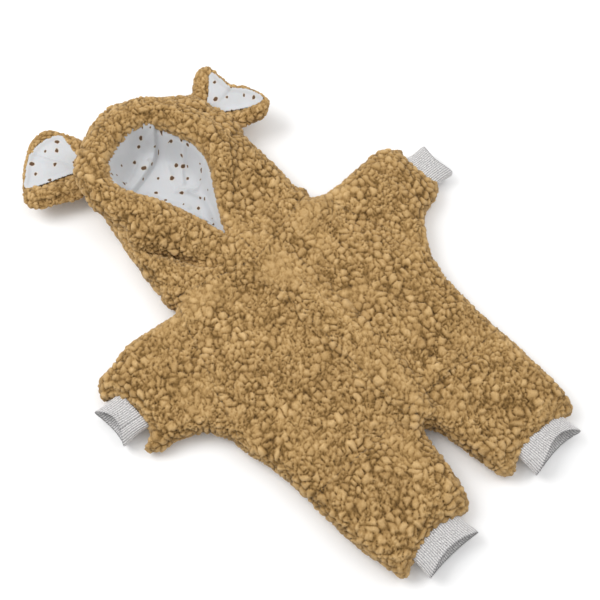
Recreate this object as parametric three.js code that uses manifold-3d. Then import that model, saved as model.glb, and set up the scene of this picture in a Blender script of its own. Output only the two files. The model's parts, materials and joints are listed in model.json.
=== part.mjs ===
// A baby's hooded romper in pile fleece, lying flat on its back: +X to the wearer's left, +Y to the head,
// +Z up from the surface it lies on. Millimetres.
import * as THREE from "three";
import { mergeVertices } from "three/addons/utils/BufferGeometryUtils.js";
import Module from "manifold-3d";

const wasm = await Module();
wasm.setup();

// ---- Driving dimensions ----
const gap = 0.4; // between pieces that touch
const seamGap = 0.6; // between two bodies that fold at a seam

// Shell
const bodyHeight = 38; // thickness of the body, sleeves and legs as they lie
const pile = 7; // fleece with its pile
const liningThick = 1.2;
const edgeRound = 12; // rounding of the shell at its side edges

// Body
const neckSeamY = 57;
const neckHalf = 97; // half width of the neck seam, and of the hood above it
const collarCorner = 8;
const shoulderRise = 5; // from the neck seam up to the shoulder line
const bodyLength = 272; // from the neck seam to the hip seam
const chestHalf = 149;
const hipNarrowing = 4; // from chest to hip, on each side
const armholeDepth = 140; // from shoulder to underarm
const underarmSoft = 24;

// Sleeves
const sleeveLength = 86; // from the armhole seam to the hem
const sleeveSlope = 2; // from the shoulder line down to the sleeve's upper edge
const sleeveWidth = 104; // at the hem
const sleeveCorner = 24;
const sleeveCuffHalf = 27;
const sleeveCuffOut = 18; // rib that shows past the hem
const sleeveCuffDrop = 6; // from the middle of the hem
const sweepOut = 16; // where the curve from underarm to hem turns, out from the armhole seam
const sweepUp = 26; // and up from the underarm

// Legs
const crotchDrop = 13; // from the hip seam
const crotchRound = 7;
const legLength = 100; // from the crotch to the hem
const hemTaper = 12; // from hip to hem, on the outside
const hemInner = 27; // from the middle of the suit to the inside of the hem
const legBow = 18; // how far above half way the inside of a leg bends
const hemCorner = 24;
const legCuffHalf = 38;
const legCuffOut = 19;

// Cuffs
const cuffSeat = 0.1; // a cuff stands this much past the inside of the lining it meets
const cuffWall = 3;
const cuffTuck = 12; // length of rib sewn inside the fleece
const cuffSquareness = 2.6;
const cuffSides = 16;

// Hood
const hoodLength = 276;
const hoodHeight = 72;
const hoodStep = 2; // the hood stands this much above the body at the neck seam
const hoodRiseShare = 0.42; // share of its length over which it rises to its full height
const crownStart = 0.46; // where it starts to narrow, as a share of its length
const crownPower = 0.62; // how blunt the crown is
const crownDrop = 34; // the crown's top lies this much lower than the hood
const crownLift = 12; // and its underside this much higher
const crownTip = 6; // half width of the last, closed end of the crown
const hoodSquareness = 2.7;
const hoodSides = 20;
const hoodSeamHalf = 32; // half width of the centre panel
const faceCentreX = -6;
const faceHalf = 50;
const faceTipRise = 43; // from the neck seam to the tip of the opening under the chin
const faceWideRise = 114; // from the tip to where the opening is widest
const faceTopDrop = 51; // from the crown to the top of the opening
const foreheadRise = 22; // the side panels end this much above the middle of the opening's top part

// Ears
const earLength = 72;
const earHalf = 42; // at its widest
const earRootHalf = 25;
const earTipHalf = 14; // half of the straight part at its far end
const earBelly = 0.62; // where it is widest, as a share of its length
const earThick = 10;
const earBand = 15; // fleece border round the facing
const facingThick = 1.6;
const earSeat = 4.6; // from the hood's side curve to the middle of the ear's root
const rightEar = { side: -1, drop: 52, height: 28, lift: 4 };
const leftEar = { side: 1, drop: 105, height: 32, lift: 28 };

// Closure
const grooveHalf = 6; // half width of the gap between the fronts, over the zip
const zipTopDrop = 7; // from the neck seam
const zipBottomRise = 9; // from the hip seam
const tapeWidth = 15;
const slitHalf = 0.7; // half the slit that the slider's post runs in
const toothPitch = 8;
const toothLength = 3.4;
const toothReach = 1.6;
const beadWidth = 1.5;
const teethHeight = 1.6;
const teethEnd = 1; // from a stop to the teeth
const sliderHalf = 4.6;
const sliderLength = 11;
const sliderPlate = 1.4;
const sliderClear = 0.5;
const postHalf = 0.35;
const postInset = 3; // the post is this much shorter than the plates at each end
const archHalf = 1;
const archLength = 6.8;
const archWall = 1;
const pullerHalf = 2.8;
const pullerLength = 20;
const pullerThick = 1.2;
const pullerBar = 1;
const pullerEyeHalf = 1.5;
const pullerEyeLength = 4.9;
const stopLength = 2.4;
const guardWide = 26; // from the closure to the edge where the guard is sewn down
const guardOver = 12; // from the closure to its free edge
const guardSeam = 4;
const guardEnd = 4; // the guard stops this much short of the zip's ends

// Loop and label
const loopHalf = 22;
const loopWidth = 6;
const loopDrop = 10; // from the neck seam
const loopTack = 5; // sewn length at each end
const loopTape = 1;
const labelLength = 32;
const labelWidth = 22;
const labelThick = 0.6;
const labelInset = 30; // from the side of the chest
const labelRise = 65; // from the hip seam

// ---- Worked out from those ----
const shoulderY = neckSeamY + shoulderRise;
const underarmY = shoulderY - armholeDepth;
const hipSeamY = neckSeamY - bodyLength;
const crotchY = hipSeamY - crotchDrop;
const hemY = crotchY - legLength;
const hipHalf = chestHalf - hipNarrowing;
const sleeveSeamX = chestHalf + 1;
const sleeveEndX = sleeveSeamX + sleeveLength;
const sleeveCuffEndX = sleeveEndX + sleeveCuffOut;
const sleeveTopY = shoulderY - sleeveSlope;
const sleeveBottomY = sleeveTopY - sleeveWidth;
const sleeveCentreY = (sleeveTopY + sleeveBottomY) / 2 - sleeveCuffDrop;
const hemOuterX = hipHalf - hemTaper;
const legCentreX = (hemInner + hemOuterX) / 2;
const legCuffEndY = hemY - legCuffOut;
const hoodTopY = neckSeamY + hoodLength;
const faceTipY = neckSeamY + faceTipRise;
const faceWideY = faceTipY + faceWideRise;
const faceTopY = hoodTopY - faceTopDrop;
const zipTopY = neckSeamY - zipTopDrop;
const zipBottomY = hipSeamY + zipBottomRise;
const liningGap = pile + gap;
const cavityInset = liningGap + liningThick;
const hoodLiningInset = liningGap + 0.5; // the crown's curve needs a little more room
const liningTop = bodyHeight - liningGap;
const liningUnder = liningTop - liningThick;
const seamHeight = bodyHeight / 2;
const centreZ = bodyHeight / 2;
const cuffHalfHeight = centreZ - cavityInset + cuffSeat;
const far = 1200; // past everything
const past = 5; // cutting solids run this much past what they cut
const weld = 0.2; // joined solids sink this much into each other

// ---- Solids ----
function solidOf(geometry) {
  const bare = geometry.index ? geometry : geometry.clone();
  for (const name of Object.keys(bare.attributes)) {
    if (name !== "position") bare.deleteAttribute(name);
  }
  const merged = mergeVertices(bare, 1e-4);
  return new wasm.Manifold(
    new wasm.Mesh({
      numProp: 3,
      vertProperties: Float32Array.from(merged.attributes.position.array),
      triVerts: Uint32Array.from(merged.index.array),
    }),
  );
}

function geometryOf(solid) {
  const mesh = solid.getMesh();
  const geometry = new THREE.BufferGeometry();
  geometry.setAttribute("position", new THREE.BufferAttribute(mesh.vertProperties, 3));
  geometry.setIndex(new THREE.BufferAttribute(mesh.triVerts, 1));
  const flat = geometry.toNonIndexed();
  flat.computeVertexNormals();
  return flat;
}

function box(low, high) {
  const size = high.map((value, i) => value - low[i]);
  const geometry = new THREE.BoxGeometry(...size);
  geometry.translate(...low.map((value, i) => value + size[i] / 2));
  return solidOf(geometry);
}

// A cushion-edged slab of a plan outline, drawn in from that outline by inset all round, above and below.
function cushion(points, height, inset) {
  const round = edgeRound - inset / 2;
  const geometry = new THREE.ExtrudeGeometry(new THREE.Shape(points), {
    depth: height - 2 * inset - 2 * round,
    bevelThickness: round,
    bevelSize: round,
    bevelOffset: -round - inset,
    bevelSegments: 2,
  });
  geometry.translate(0, 0, inset + round);
  return solidOf(geometry);
}

// A closed surface through rings of equal point counts, with a flat cap on each end.
function loft(rings) {
  const count = rings[0].length;
  const positions = rings.flat().flatMap((p) => [p.x, p.y, p.z]);
  const index = [];
  for (let i = 0; i + 1 < rings.length; i++) {
    for (let j = 0; j < count; j++) {
      const a = i * count + j;
      const b = i * count + ((j + 1) % count);
      index.push(a, b, b + count, a, b + count, a + count);
    }
  }
  const last = (rings.length - 1) * count;
  for (let j = 1; j + 1 < count; j++) {
    index.push(0, j + 1, j);
    index.push(last, last + j, last + j + 1);
  }
  const geometry = new THREE.BufferGeometry();
  geometry.setAttribute("position", new THREE.Float32BufferAttribute(positions, 3));
  geometry.setIndex(index);
  return solidOf(geometry);
}

// A rounded-rectangle section between two heights, as [across, up] pairs.
function softSection(half, low, high, squareness, count) {
  const power = 2 / squareness;
  const round = (value) => Math.sign(value) * Math.abs(value) ** power;
  const points = [];
  for (let i = 0; i < count; i++) {
    const turn = ((i + 0.5) / count) * 2 * Math.PI;
    const up = (low + high) / 2 + (round(Math.sin(turn)) * (high - low)) / 2;
    points.push([half * round(Math.cos(turn)), up]);
  }
  return points;
}

// ---- The suit's outline, right half and then the left as its mirror image ----
function suitOutline() {
  const half = new THREE.Path();
  const sleeveTurnX = sleeveEndX - sleeveCorner;
  half.moveTo(neckHalf, neckSeamY + 2 * edgeRound);
  half.lineTo(neckHalf, shoulderY + collarCorner);
  half.quadraticCurveTo(neckHalf, shoulderY, neckHalf + collarCorner, shoulderY);
  half.lineTo(sleeveSeamX, shoulderY);
  half.lineTo(sleeveTurnX, sleeveTopY);
  half.absarc(sleeveTurnX, sleeveTopY - sleeveCorner, sleeveCorner, Math.PI / 2, 0, true);
  half.absarc(sleeveTurnX, sleeveBottomY + sleeveCorner, sleeveCorner, 0, -Math.PI / 2, true);
  half.quadraticCurveTo(sleeveSeamX + sweepOut, underarmY + sweepUp, sleeveSeamX, underarmY);
  half.quadraticCurveTo(chestHalf, underarmY - underarmSoft / 3, chestHalf, underarmY - underarmSoft);
  half.lineTo(hipHalf, hipSeamY);
  half.quadraticCurveTo(hipHalf, (hipSeamY + hemY) / 2, hemOuterX, hemY + hemCorner);
  half.absarc(hemOuterX - hemCorner, hemY + hemCorner, hemCorner, 0, -Math.PI / 2, true);
  half.absarc(hemInner + hemCorner, hemY + hemCorner, hemCorner, -Math.PI / 2, -Math.PI, true);
  const bowX = (hemInner + crotchRound) / 2;
  half.quadraticCurveTo(bowX, (crotchY + hemY) / 2 + legBow, crotchRound, crotchY - 2 * crotchRound);
  half.quadraticCurveTo(crotchRound / 2, crotchY, 0, crotchY);
  const right = half.getPoints(4);
  const left = right.slice(0, -1).reverse();
  return [...right, ...left.map((p) => new THREE.Vector2(-p.x, p.y))];
}

const outline = suitOutline();
const suitOuter = cushion(outline, bodyHeight, 0);
const suitInner = cushion(outline, bodyHeight, pile);
const liningOuter = cushion(outline, bodyHeight, liningGap);
const liningInner = cushion(outline, bodyHeight, cavityInset);

// Regions that the suit is cut into at its seams
const legSlot = box([-seamGap / 2, crotchY - 1, -1], [seamGap / 2, hipSeamY, far]);
const torsoRegion = box([-sleeveSeamX, hipSeamY, -1], [sleeveSeamX, far, far]).subtract(
  box([-neckHalf - past, neckSeamY, -past], [neckHalf + past, far, far]),
);
const sleeveRegion = (side) =>
  side > 0
    ? box([sleeveSeamX + seamGap, -far, -1], [far, far, far])
    : box([-far, -far, -1], [-sleeveSeamX - seamGap, far, far]);
const legRegion = (side) =>
  (side > 0
    ? box([0, -far, -1], [sleeveSeamX, hipSeamY - seamGap, far])
    : box([-sleeveSeamX, -far, -1], [0, hipSeamY - seamGap, far])
  ).subtract(legSlot);
const above = (z) => box([-far, -far, z], [far, far, far]);
const below = (z) => box([-far, -far, -far], [far, far, z]);

// ---- Cuffs: a flattened rib tube, open at both ends ----
function cuffSection(half, halfHeight) {
  return softSection(half, centreZ - halfHeight, centreZ + halfHeight, cuffSquareness, cuffSides);
}

function prism(section, place, from, to) {
  const ends = from < to ? [from, to] : [to, from];
  return loft(ends.map((along) => section.map(([across, up]) => place(across, up, along))));
}

function cuffParts(half, place, from, to) {
  const body = prism(cuffSection(half, cuffHalfHeight), place, from, to);
  const bore = prism(cuffSection(half - cuffWall, cuffHalfHeight - cuffWall), place, from - past, to + past);
  const seat = prism(cuffSection(half + gap, cuffHalfHeight + gap), place, from - gap, to + far);
  return { cuff: body.subtract(bore), seat };
}

function sleeveCuff(side) {
  const place = (across, up, along) => {
    return new THREE.Vector3(side * along, sleeveCentreY + side * across, up);
  };
  return cuffParts(sleeveCuffHalf, place, sleeveEndX - cuffTuck, sleeveCuffEndX);
}

function legCuff(side) {
  const place = (across, up, along) => new THREE.Vector3(side * legCentreX + across, -along, up);
  return cuffParts(legCuffHalf, place, -hemY - cuffTuck, -legCuffEndY);
}

// ---- Hood ----
// Half width and height of the hood at a distance along it, from the neck seam (0) to the crown (1).
function hoodAt(share) {
  const crown = Math.max(0, (share - crownStart) / (1 - crownStart));
  const half = neckHalf * (1 - crown ** 2) ** crownPower;
  const rise = Math.min(1, share / hoodRiseShare);
  const eased = rise * rise * (3 - 2 * rise);
  const start = bodyHeight + hoodStep;
  const high = start + (hoodHeight - start) * eased - crownDrop * crown ** 3;
  return { half, low: crownLift * crown ** 3, high };
}

function hoodShell(inset, longer = 0) {
  const start = neckSeamY + seamGap;
  const end = hoodTopY - inset;
  const shares = [0, 0.14, 0.28, crownStart, 0.62, 0.74, 0.84, 0.93, 1];
  const rings = shares.map((share) => {
    const { half, low, high } = hoodAt(share);
    const y = start + share * (end - start) - (share === 0 ? longer : 0);
    const room = Math.max(half - inset, crownTip);
    const section = softSection(room, low + inset, high - inset, hoodSquareness, hoodSides);
    return section.map(([x, z]) => new THREE.Vector3(-x, y, z));
  });
  return loft(rings);
}

function faceOpening() {
  const half = new THREE.Path();
  half.moveTo(0, faceTipY);
  half.quadraticCurveTo(faceHalf * 0.62, faceTipY + faceWideRise * 0.39, faceHalf, faceWideY);
  half.quadraticCurveTo(faceHalf, faceTopY, 0, faceTopY);
  const right = half.getPoints(6);
  const left = right.slice(1, -1).reverse();
  const points = [...right, ...left.map((p) => new THREE.Vector2(-p.x, p.y))];
  const geometry = new THREE.ExtrudeGeometry(new THREE.Shape(points), {
    depth: far,
    bevelEnabled: false,
  });
  geometry.translate(faceCentreX, 0, seamHeight);
  return solidOf(geometry);
}

const face = faceOpening();
const centreFrontY = (faceWideY + faceTopY) / 2 + foreheadRise; // the centre panel is whole above this

function centrePanelRegion(grow) {
  const half = hoodSeamHalf + grow;
  return box([-half, -far, -far], [half, far, seamHeight]).add(
    box([-half, centreFrontY - grow, -far], [half, far, far]),
  );
}

function hoodPieces(shell) {
  const open = shell.subtract(face);
  const sides = open.subtract(centrePanelRegion(gap));
  return {
    centre: open.intersect(centrePanelRegion(0)),
    left: sides.intersect(box([faceCentreX + gap / 2, -far, -far], [far, far, far])),
    right: sides.intersect(box([-far, -far, -far], [faceCentreX - gap / 2, far, far])),
  };
}

const hoodOuterPieces = hoodPieces(hoodShell(0).subtract(hoodShell(pile, past)));
const hoodLiningPieces = hoodPieces(
  hoodShell(hoodLiningInset).subtract(hoodShell(hoodLiningInset + liningThick, past)),
);

// ---- Ears ----
// Plan outline of an ear, its root at the origin and its length along +X.
function earShape(inset) {
  const half = earHalf - inset;
  const root = earRootHalf - inset * 0.6;
  const tip = earTipHalf * (half / earHalf);
  const end = earLength - inset;
  const belly = earLength * earBelly;
  const shape = new THREE.Shape();
  shape.moveTo(inset, -root);
  shape.quadraticCurveTo(earLength * 0.4, -half, belly, -half);
  shape.quadraticCurveTo(end, -half, end, -tip);
  shape.lineTo(end, tip);
  shape.quadraticCurveTo(end, half, belly, half);
  shape.quadraticCurveTo(earLength * 0.4, half, inset, root);
  return shape;
}

function earSlab(inset, low, high) {
  const geometry = new THREE.ExtrudeGeometry(earShape(inset), {
    depth: high - low,
    bevelEnabled: false,
    curveSegments: 4,
  });
  geometry.translate(0, 0, low);
  return solidOf(geometry);
}

function earRoot() {
  const geometry = new THREE.CylinderGeometry(earThick / 2, earThick / 2, 2 * earRootHalf, 12);
  return solidOf(geometry);
}

function earSolids() {
  const top = earThick / 2;
  const recess = earSlab(earBand, top - facingThick - gap, top + past);
  const back = earSlab(0, -top, top).add(earRoot()).subtract(recess);
  const facing = earSlab(earBand + gap, top - facingThick, top);
  return { back, facing };
}

// Where an ear's root lies: on the hood's side edge, turned square to that edge.
function earPlace({ side, drop, height, lift }) {
  const y = hoodTopY - drop;
  const halfAt = (value) => hoodAt((value - neckSeamY) / hoodLength).half;
  const slope = (halfAt(y + 1) - halfAt(y - 1)) / 2;
  const turn = Math.atan(-slope);
  return {
    x: side * (halfAt(y) + earSeat * Math.cos(turn)),
    y: y + earSeat * Math.sin(turn),
    z: height,
    turn: side > 0 ? turn : Math.PI - turn,
    lift: (lift * Math.PI) / 180,
  };
}

// ---- Closure ----
const tapeTop = liningTop;
const tapeUnder = tapeTop - liningThick;
const teethLow = tapeTop + gap;
const teethHigh = teethLow + teethHeight;
const plateLow = teethHigh + sliderClear;
const plateHigh = plateLow + sliderPlate;
const underHigh = tapeUnder - sliderClear;
const underLow = underHigh - sliderPlate;
const archHigh = plateHigh + 2 * sliderClear + pullerBar + archWall;
const pivotZ = plateHigh + sliderClear + pullerThick / 2;
const sliderY = zipTopY - stopLength - gap - sliderLength / 2;

function sided(side, low, high) {
  if (side > 0) return box(low, high);
  return box([-high[0], low[1], low[2]], [-low[0], high[1], high[2]]);
}

function zipTape(side) {
  return sided(side, [slitHalf, zipBottomY, tapeUnder], [slitHalf + tapeWidth, zipTopY, tapeTop]);
}

function zipTeeth(side) {
  const inner = slitHalf + toothReach;
  const first = zipBottomY + stopLength + teethEnd;
  const last = zipTopY - stopLength - teethEnd;
  let row = sided(side, [inner - weld / 2, first, teethLow], [inner + beadWidth, last, teethHigh]);
  const count = Math.floor((last - first - toothLength) / toothPitch);
  const shift = side > 0 ? toothPitch / 2 : 0;
  for (let i = 0; i < count; i++) {
    const y = first + teethEnd / 2 + shift + i * toothPitch;
    row = row.add(sided(side, [slitHalf, y, teethLow], [inner, y + toothLength, teethHigh]));
  }
  return row;
}

function topStop(side) {
  const outer = slitHalf + toothReach + beadWidth;
  return sided(side, [slitHalf, zipTopY - stopLength, teethLow], [outer, zipTopY, teethHigh]);
}

function bottomStop() {
  const half = slitHalf + toothReach + beadWidth;
  return box([-half, zipBottomY, teethLow], [half, zipBottomY + stopLength, teethHigh]);
}

function zipSlider() {
  const y0 = sliderY - sliderLength / 2;
  const y1 = sliderY + sliderLength / 2;
  const top = box([-sliderHalf, y0, plateLow], [sliderHalf, y1, plateHigh]);
  const under = box([-sliderHalf, y0, underLow], [sliderHalf, y1, underHigh]);
  const postEnds = [y0 + postInset, y1 - postInset];
  const post = box([-postHalf, postEnds[0], underHigh - weld], [postHalf, postEnds[1], plateLow + weld]);
  const room = pullerBar / 2 + sliderClear; // round the puller's bar
  const arch = box(
    [-archHalf, sliderY - archLength / 2, plateHigh - weld],
    [archHalf, sliderY + archLength / 2, archHigh],
  );
  const eye = box(
    [-2 * archHalf, sliderY - room - gap, plateHigh],
    [2 * archHalf, sliderY + room + gap, pivotZ + room],
  );
  return top.add(under).add(post).add(arch.subtract(eye));
}

function zipPuller() {
  const z0 = pivotZ - pullerThick / 2;
  const z1 = pivotZ + pullerThick / 2;
  const barY = sliderY - pullerBar / 2;
  const tab = box([-pullerHalf, sliderY - pullerLength, z0], [pullerHalf, sliderY + pullerBar / 2, z1]);
  const eye = box([-pullerEyeHalf, barY - pullerEyeLength, z0 - 1], [pullerEyeHalf, barY, z1 + 1]);
  return tab.subtract(eye);
}

function zipGuard() {
  const top = underLow - sliderClear;
  const low = zipBottomY + guardEnd;
  const high = zipTopY - guardEnd;
  const strip = box([-guardWide, low, top - liningThick], [guardOver, high, top]);
  const seam = box([-guardWide, low, top - liningThick], [guardSeam - guardWide, high, liningUnder - gap]);
  return strip.add(seam);
}

function hangerLoop() {
  const z = cavityInset + gap;
  const y = neckSeamY - loopDrop;
  const inner = loopHalf - loopTack;
  const tape = box([-loopHalf, y, z], [loopHalf, y + loopWidth, z + 3 * loopTape]);
  return tape.subtract(box([-inner, y - 1, z + loopTape], [inner, y + loopWidth + 1, z + 2 * loopTape]));
}

function careLabel() {
  const z = cavityInset + gap;
  const x = chestHalf - labelInset;
  const y = hipSeamY + labelRise;
  return box([x - labelLength, y, z], [x, y + labelWidth, z + labelThick]);
}

// ---- Colours ----
function finish(color, roughness, metalness = 0) {
  return new THREE.MeshStandardMaterial({ color, roughness, metalness });
}
const fleece = finish("#b98f56", 0.95);
const jersey = finish("#e9edf2", 0.85);
const rib = finish("#c9c9cc", 0.85);
const tapeCloth = finish("#a8824e", 0.8);
const nylon = finish("#a07c4a", 0.45);
const metal = finish("#8c8a86", 0.35, 0.9);
const satin = finish("#f2f1ee", 0.6);

// ---- Assembly ----
const suit = new THREE.Group();

function piece(name, solid, material, parent = suit) {
  const mesh = new THREE.Mesh(geometryOf(solid), material);
  mesh.name = name;
  parent.add(mesh);
}

// Body
const shell = suitOuter.subtract(suitInner).intersect(torsoRegion);
const fronts = shell.intersect(above(seamHeight + gap / 2));
piece("back_panel", shell.intersect(below(seamHeight - gap / 2)), fleece);
piece("front_left_panel", fronts.intersect(box([grooveHalf, -far, 0], [far, far, far])), fleece);
piece("front_right_panel", fronts.intersect(box([-far, -far, 0], [-grooveHalf, far, far])), fleece);

const tapeEdge = slitHalf + tapeWidth + gap;
const bodyLining = liningOuter.subtract(liningInner).intersect(torsoRegion);
const frontLining = bodyLining.intersect(above(seamHeight + gap / 2));
piece("back_lining", bodyLining.intersect(below(seamHeight - gap / 2)), jersey);
piece("front_left_lining", frontLining.intersect(box([tapeEdge, -far, 0], [far, far, far])), jersey);
piece("front_right_lining", frontLining.intersect(box([-far, -far, 0], [-tapeEdge, far, far])), jersey);

piece("zip_bottom_stop", bottomStop(), metal);
piece("zip_guard", zipGuard(), jersey);
piece("zip_slider", zipSlider(), metal);
piece("zip_puller", zipPuller(), metal);
piece("hanger_loop", hangerLoop(), tapeCloth);
piece("care_label", careLabel(), satin);

const sides = [
  ["left", 1],
  ["right", -1],
];
for (const [name, side] of sides) {
  piece(`zip_tape_${name}`, zipTape(side), tapeCloth);
  piece(`zip_teeth_${name}`, zipTeeth(side), nylon);
  piece(`zip_top_stop_${name}`, topStop(side), metal);

  // Sleeve
  const arm = sleeveCuff(side);
  const armShell = suitOuter.subtract(suitInner).subtract(arm.seat).intersect(sleeveRegion(side));
  const armLining = liningOuter.subtract(liningInner).intersect(sleeveRegion(side));
  const cuffStart = sleeveEndX - cuffTuck - 2 * gap;
  piece(`${name}_sleeve_back`, armShell.intersect(below(seamHeight - gap / 2)), fleece);
  piece(`${name}_sleeve_front`, armShell.intersect(above(seamHeight + gap / 2)), fleece);
  piece(
    `${name}_sleeve_lining`,
    armLining.intersect(box([-cuffStart, -far, -1], [cuffStart, far, far])),
    jersey,
  );
  piece(`${name}_sleeve_cuff`, arm.cuff, rib);

  // Leg
  const leg = legCuff(side);
  const legShell = suitOuter.subtract(suitInner).subtract(leg.seat).intersect(legRegion(side));
  const legLining = liningOuter.subtract(liningInner).intersect(legRegion(side));
  const legCuffStart = hemY + cuffTuck + 2 * gap;
  piece(`${name}_leg_back`, legShell.intersect(below(seamHeight - gap / 2)), fleece);
  piece(`${name}_leg_front`, legShell.intersect(above(seamHeight + gap / 2)), fleece);
  piece(
    `${name}_leg_lining`,
    legLining.intersect(box([-far, legCuffStart, -1], [far, far, far])),
    jersey,
  );
  piece(`${name}_leg_cuff`, leg.cuff, rib);
}

for (const name of ["left", "right", "centre"]) {
  piece(`hood_${name}_panel`, hoodOuterPieces[name], fleece);
  piece(`hood_${name}_lining`, hoodLiningPieces[name], jersey);
}

for (const [name, ear] of [
  ["left", leftEar],
  ["right", rightEar],
]) {
  const { x, y, z, turn, lift } = earPlace(ear);
  const { back, facing } = earSolids();
  const holder = new THREE.Group();
  holder.position.set(x, y, z);
  holder.rotation.set(0, -lift, turn, "ZYX");
  suit.add(holder);
  piece(`${name}_ear_back`, back, fleece, holder);
  piece(`${name}_ear_facing`, facing, jersey, holder);
}

export default suit;
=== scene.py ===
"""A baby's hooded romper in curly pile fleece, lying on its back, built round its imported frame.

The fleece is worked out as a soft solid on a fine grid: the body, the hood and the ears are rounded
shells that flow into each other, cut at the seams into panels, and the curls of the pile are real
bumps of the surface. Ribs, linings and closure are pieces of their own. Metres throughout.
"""

import json
import logging
import math
from dataclasses import dataclass, field
from enum import Enum
from typing import Iterable, Sequence

import bpy
import numpy as np
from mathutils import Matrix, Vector


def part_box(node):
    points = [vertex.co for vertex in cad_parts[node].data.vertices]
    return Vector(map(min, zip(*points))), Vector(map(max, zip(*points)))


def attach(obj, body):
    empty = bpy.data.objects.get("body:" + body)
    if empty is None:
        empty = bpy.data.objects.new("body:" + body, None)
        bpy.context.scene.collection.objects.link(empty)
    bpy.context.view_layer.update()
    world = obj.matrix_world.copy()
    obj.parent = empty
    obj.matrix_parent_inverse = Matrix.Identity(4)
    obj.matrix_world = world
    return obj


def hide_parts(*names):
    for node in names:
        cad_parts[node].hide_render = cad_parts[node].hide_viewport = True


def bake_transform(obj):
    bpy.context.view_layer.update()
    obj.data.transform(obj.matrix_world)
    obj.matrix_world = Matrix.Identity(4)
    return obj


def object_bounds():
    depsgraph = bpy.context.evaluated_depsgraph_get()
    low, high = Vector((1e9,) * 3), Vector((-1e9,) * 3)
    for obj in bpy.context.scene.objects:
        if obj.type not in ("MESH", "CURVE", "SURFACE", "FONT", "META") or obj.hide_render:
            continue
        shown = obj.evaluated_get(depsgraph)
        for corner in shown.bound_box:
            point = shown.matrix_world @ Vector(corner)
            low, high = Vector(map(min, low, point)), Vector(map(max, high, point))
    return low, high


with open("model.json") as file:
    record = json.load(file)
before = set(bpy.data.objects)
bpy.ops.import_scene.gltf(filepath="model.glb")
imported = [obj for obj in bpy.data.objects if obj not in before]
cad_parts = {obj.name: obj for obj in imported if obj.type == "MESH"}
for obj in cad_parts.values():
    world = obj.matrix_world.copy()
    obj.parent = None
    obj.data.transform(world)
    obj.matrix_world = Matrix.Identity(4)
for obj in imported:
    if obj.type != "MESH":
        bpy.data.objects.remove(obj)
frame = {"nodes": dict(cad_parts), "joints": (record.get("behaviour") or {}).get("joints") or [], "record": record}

CAD_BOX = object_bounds()
MM = 0.001
Array = np.ndarray
Point = tuple[float, float, float]
log = logging.getLogger("romper")


class Cloth(Enum):
    """The material slots of the record that the pieces take their finishes from."""

    FLEECE = "pile_fleece"
    JERSEY = "jersey_lining"
    RIB = "rib_knit"
    TAPE = "zip_tape"
    NYLON = "zip_nylon"
    METAL = "zip_metal"
    SATIN = "satin_label"


class Side(Enum):
    """The wearer's sides, with the sign of X on each."""

    LEFT = 1
    RIGHT = -1

    @property
    def word(self) -> str:
        """The side's word in node names."""
        return self.name.lower()


# ---------------------------------------------------------------- noise and small maths


def smoothstep(low: float, high: float, value: Array) -> Array:
    """Eases from 0 at low to 1 at high.

    Args:
        low: Where the result starts to leave 0.
        high: Where it reaches 1.
        value: The numbers to ease.

    Returns:
        The eased numbers.
    """
    t = np.clip((value - low) / (high - low), 0.0, 1.0)
    return t * t * (3 - 2 * t)


def soft_union(a: Array, b: Array, blend: float) -> Array:
    """Joins two distance fields with a rounded valley between them.

    Args:
        a: First field.
        b: Second field.
        blend: Size of the rounding.

    Returns:
        The joined field.
    """
    h = np.clip(0.5 + 0.5 * (b - a) / blend, 0.0, 1.0)
    return b * (1 - h) + a * h - blend * h * (1 - h)


@dataclass(frozen=True)
class Grain:
    """Repeatable noise in space, from hashed whole numbers."""

    seed: int = 7

    def _hash(self, cell: Array, salt: int) -> Array:
        """A number in 0..1 for each whole-number cell.

        Args:
            cell: Cells, shape (n, 3), whole numbers.
            salt: Which of several independent numbers to give.

        Returns:
            One number per cell.
        """
        c = cell.astype(np.uint32)
        h = c[:, 0] * np.uint32(73856093) ^ c[:, 1] * np.uint32(19349663)
        h = h ^ c[:, 2] * np.uint32(83492791) ^ np.uint32((self.seed * 9781 + salt * 6271) & 0xFFFFFFFF)
        h = (h ^ (h >> np.uint32(13))) * np.uint32(1274126177)
        h = (h ^ (h >> np.uint32(16))) * np.uint32(2246822519)
        return ((h >> np.uint32(8)) & np.uint32(0xFFFF)).astype(np.float32) / 65535.0

    def smooth(self, points: Array, size: float, salt: int = 0) -> Array:
        """Soft noise in -1..1 whose bumps are about size across.

        Args:
            points: Points, shape (n, 3).
            size: Size of the bumps.
            salt: Which of several independent noises to give.

        Returns:
            One number per point.
        """
        p = points / size + 1000.0
        base = np.floor(p)
        f = (p - base).astype(np.float32)
        f = f * f * (3 - 2 * f)
        total = np.zeros(len(points), np.float32)
        for corner in np.ndindex(2, 2, 2):
            weight = np.ones(len(points), np.float32)
            for axis in range(3):
                weight *= f[:, axis] if corner[axis] else 1 - f[:, axis]
            total += weight * self._hash(base + corner, salt)
        return total * 2 - 1

    def cells(self, points: Array, size: float, salt: int = 0) -> tuple[Array, Array, Array]:
        """Distances to the nearest and second nearest of scattered centres, one centre per cell.

        Args:
            points: Points, shape (n, 3).
            size: Size of a cell.
            salt: Which of several independent scatters to give.

        Returns:
            The two distances in cell sizes, and a number in 0..1 that belongs to the nearest centre.
        """
        p = (points / size + 1000.0).astype(np.float32)
        base = np.floor(p)
        first = np.full(len(p), 9.0, np.float32)
        second = np.full(len(p), 9.0, np.float32)
        owner = np.zeros(len(p), np.float32)
        for step in np.ndindex(3, 3, 3):
            cell = base + np.array(step, np.float32) - 1
            centre = np.stack([self._hash(cell, salt * 5 + k) for k in (1, 2, 3)], 1)
            distance = np.sqrt((((cell + 0.08 + 0.84 * centre) - p) ** 2).sum(1))
            nearer = distance < first
            second = np.where(nearer, first, np.minimum(second, distance))
            owner = np.where(nearer, self._hash(cell, salt * 5 + 4), owner)
            first = np.where(nearer, distance, first)
        return first, second, owner


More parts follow.
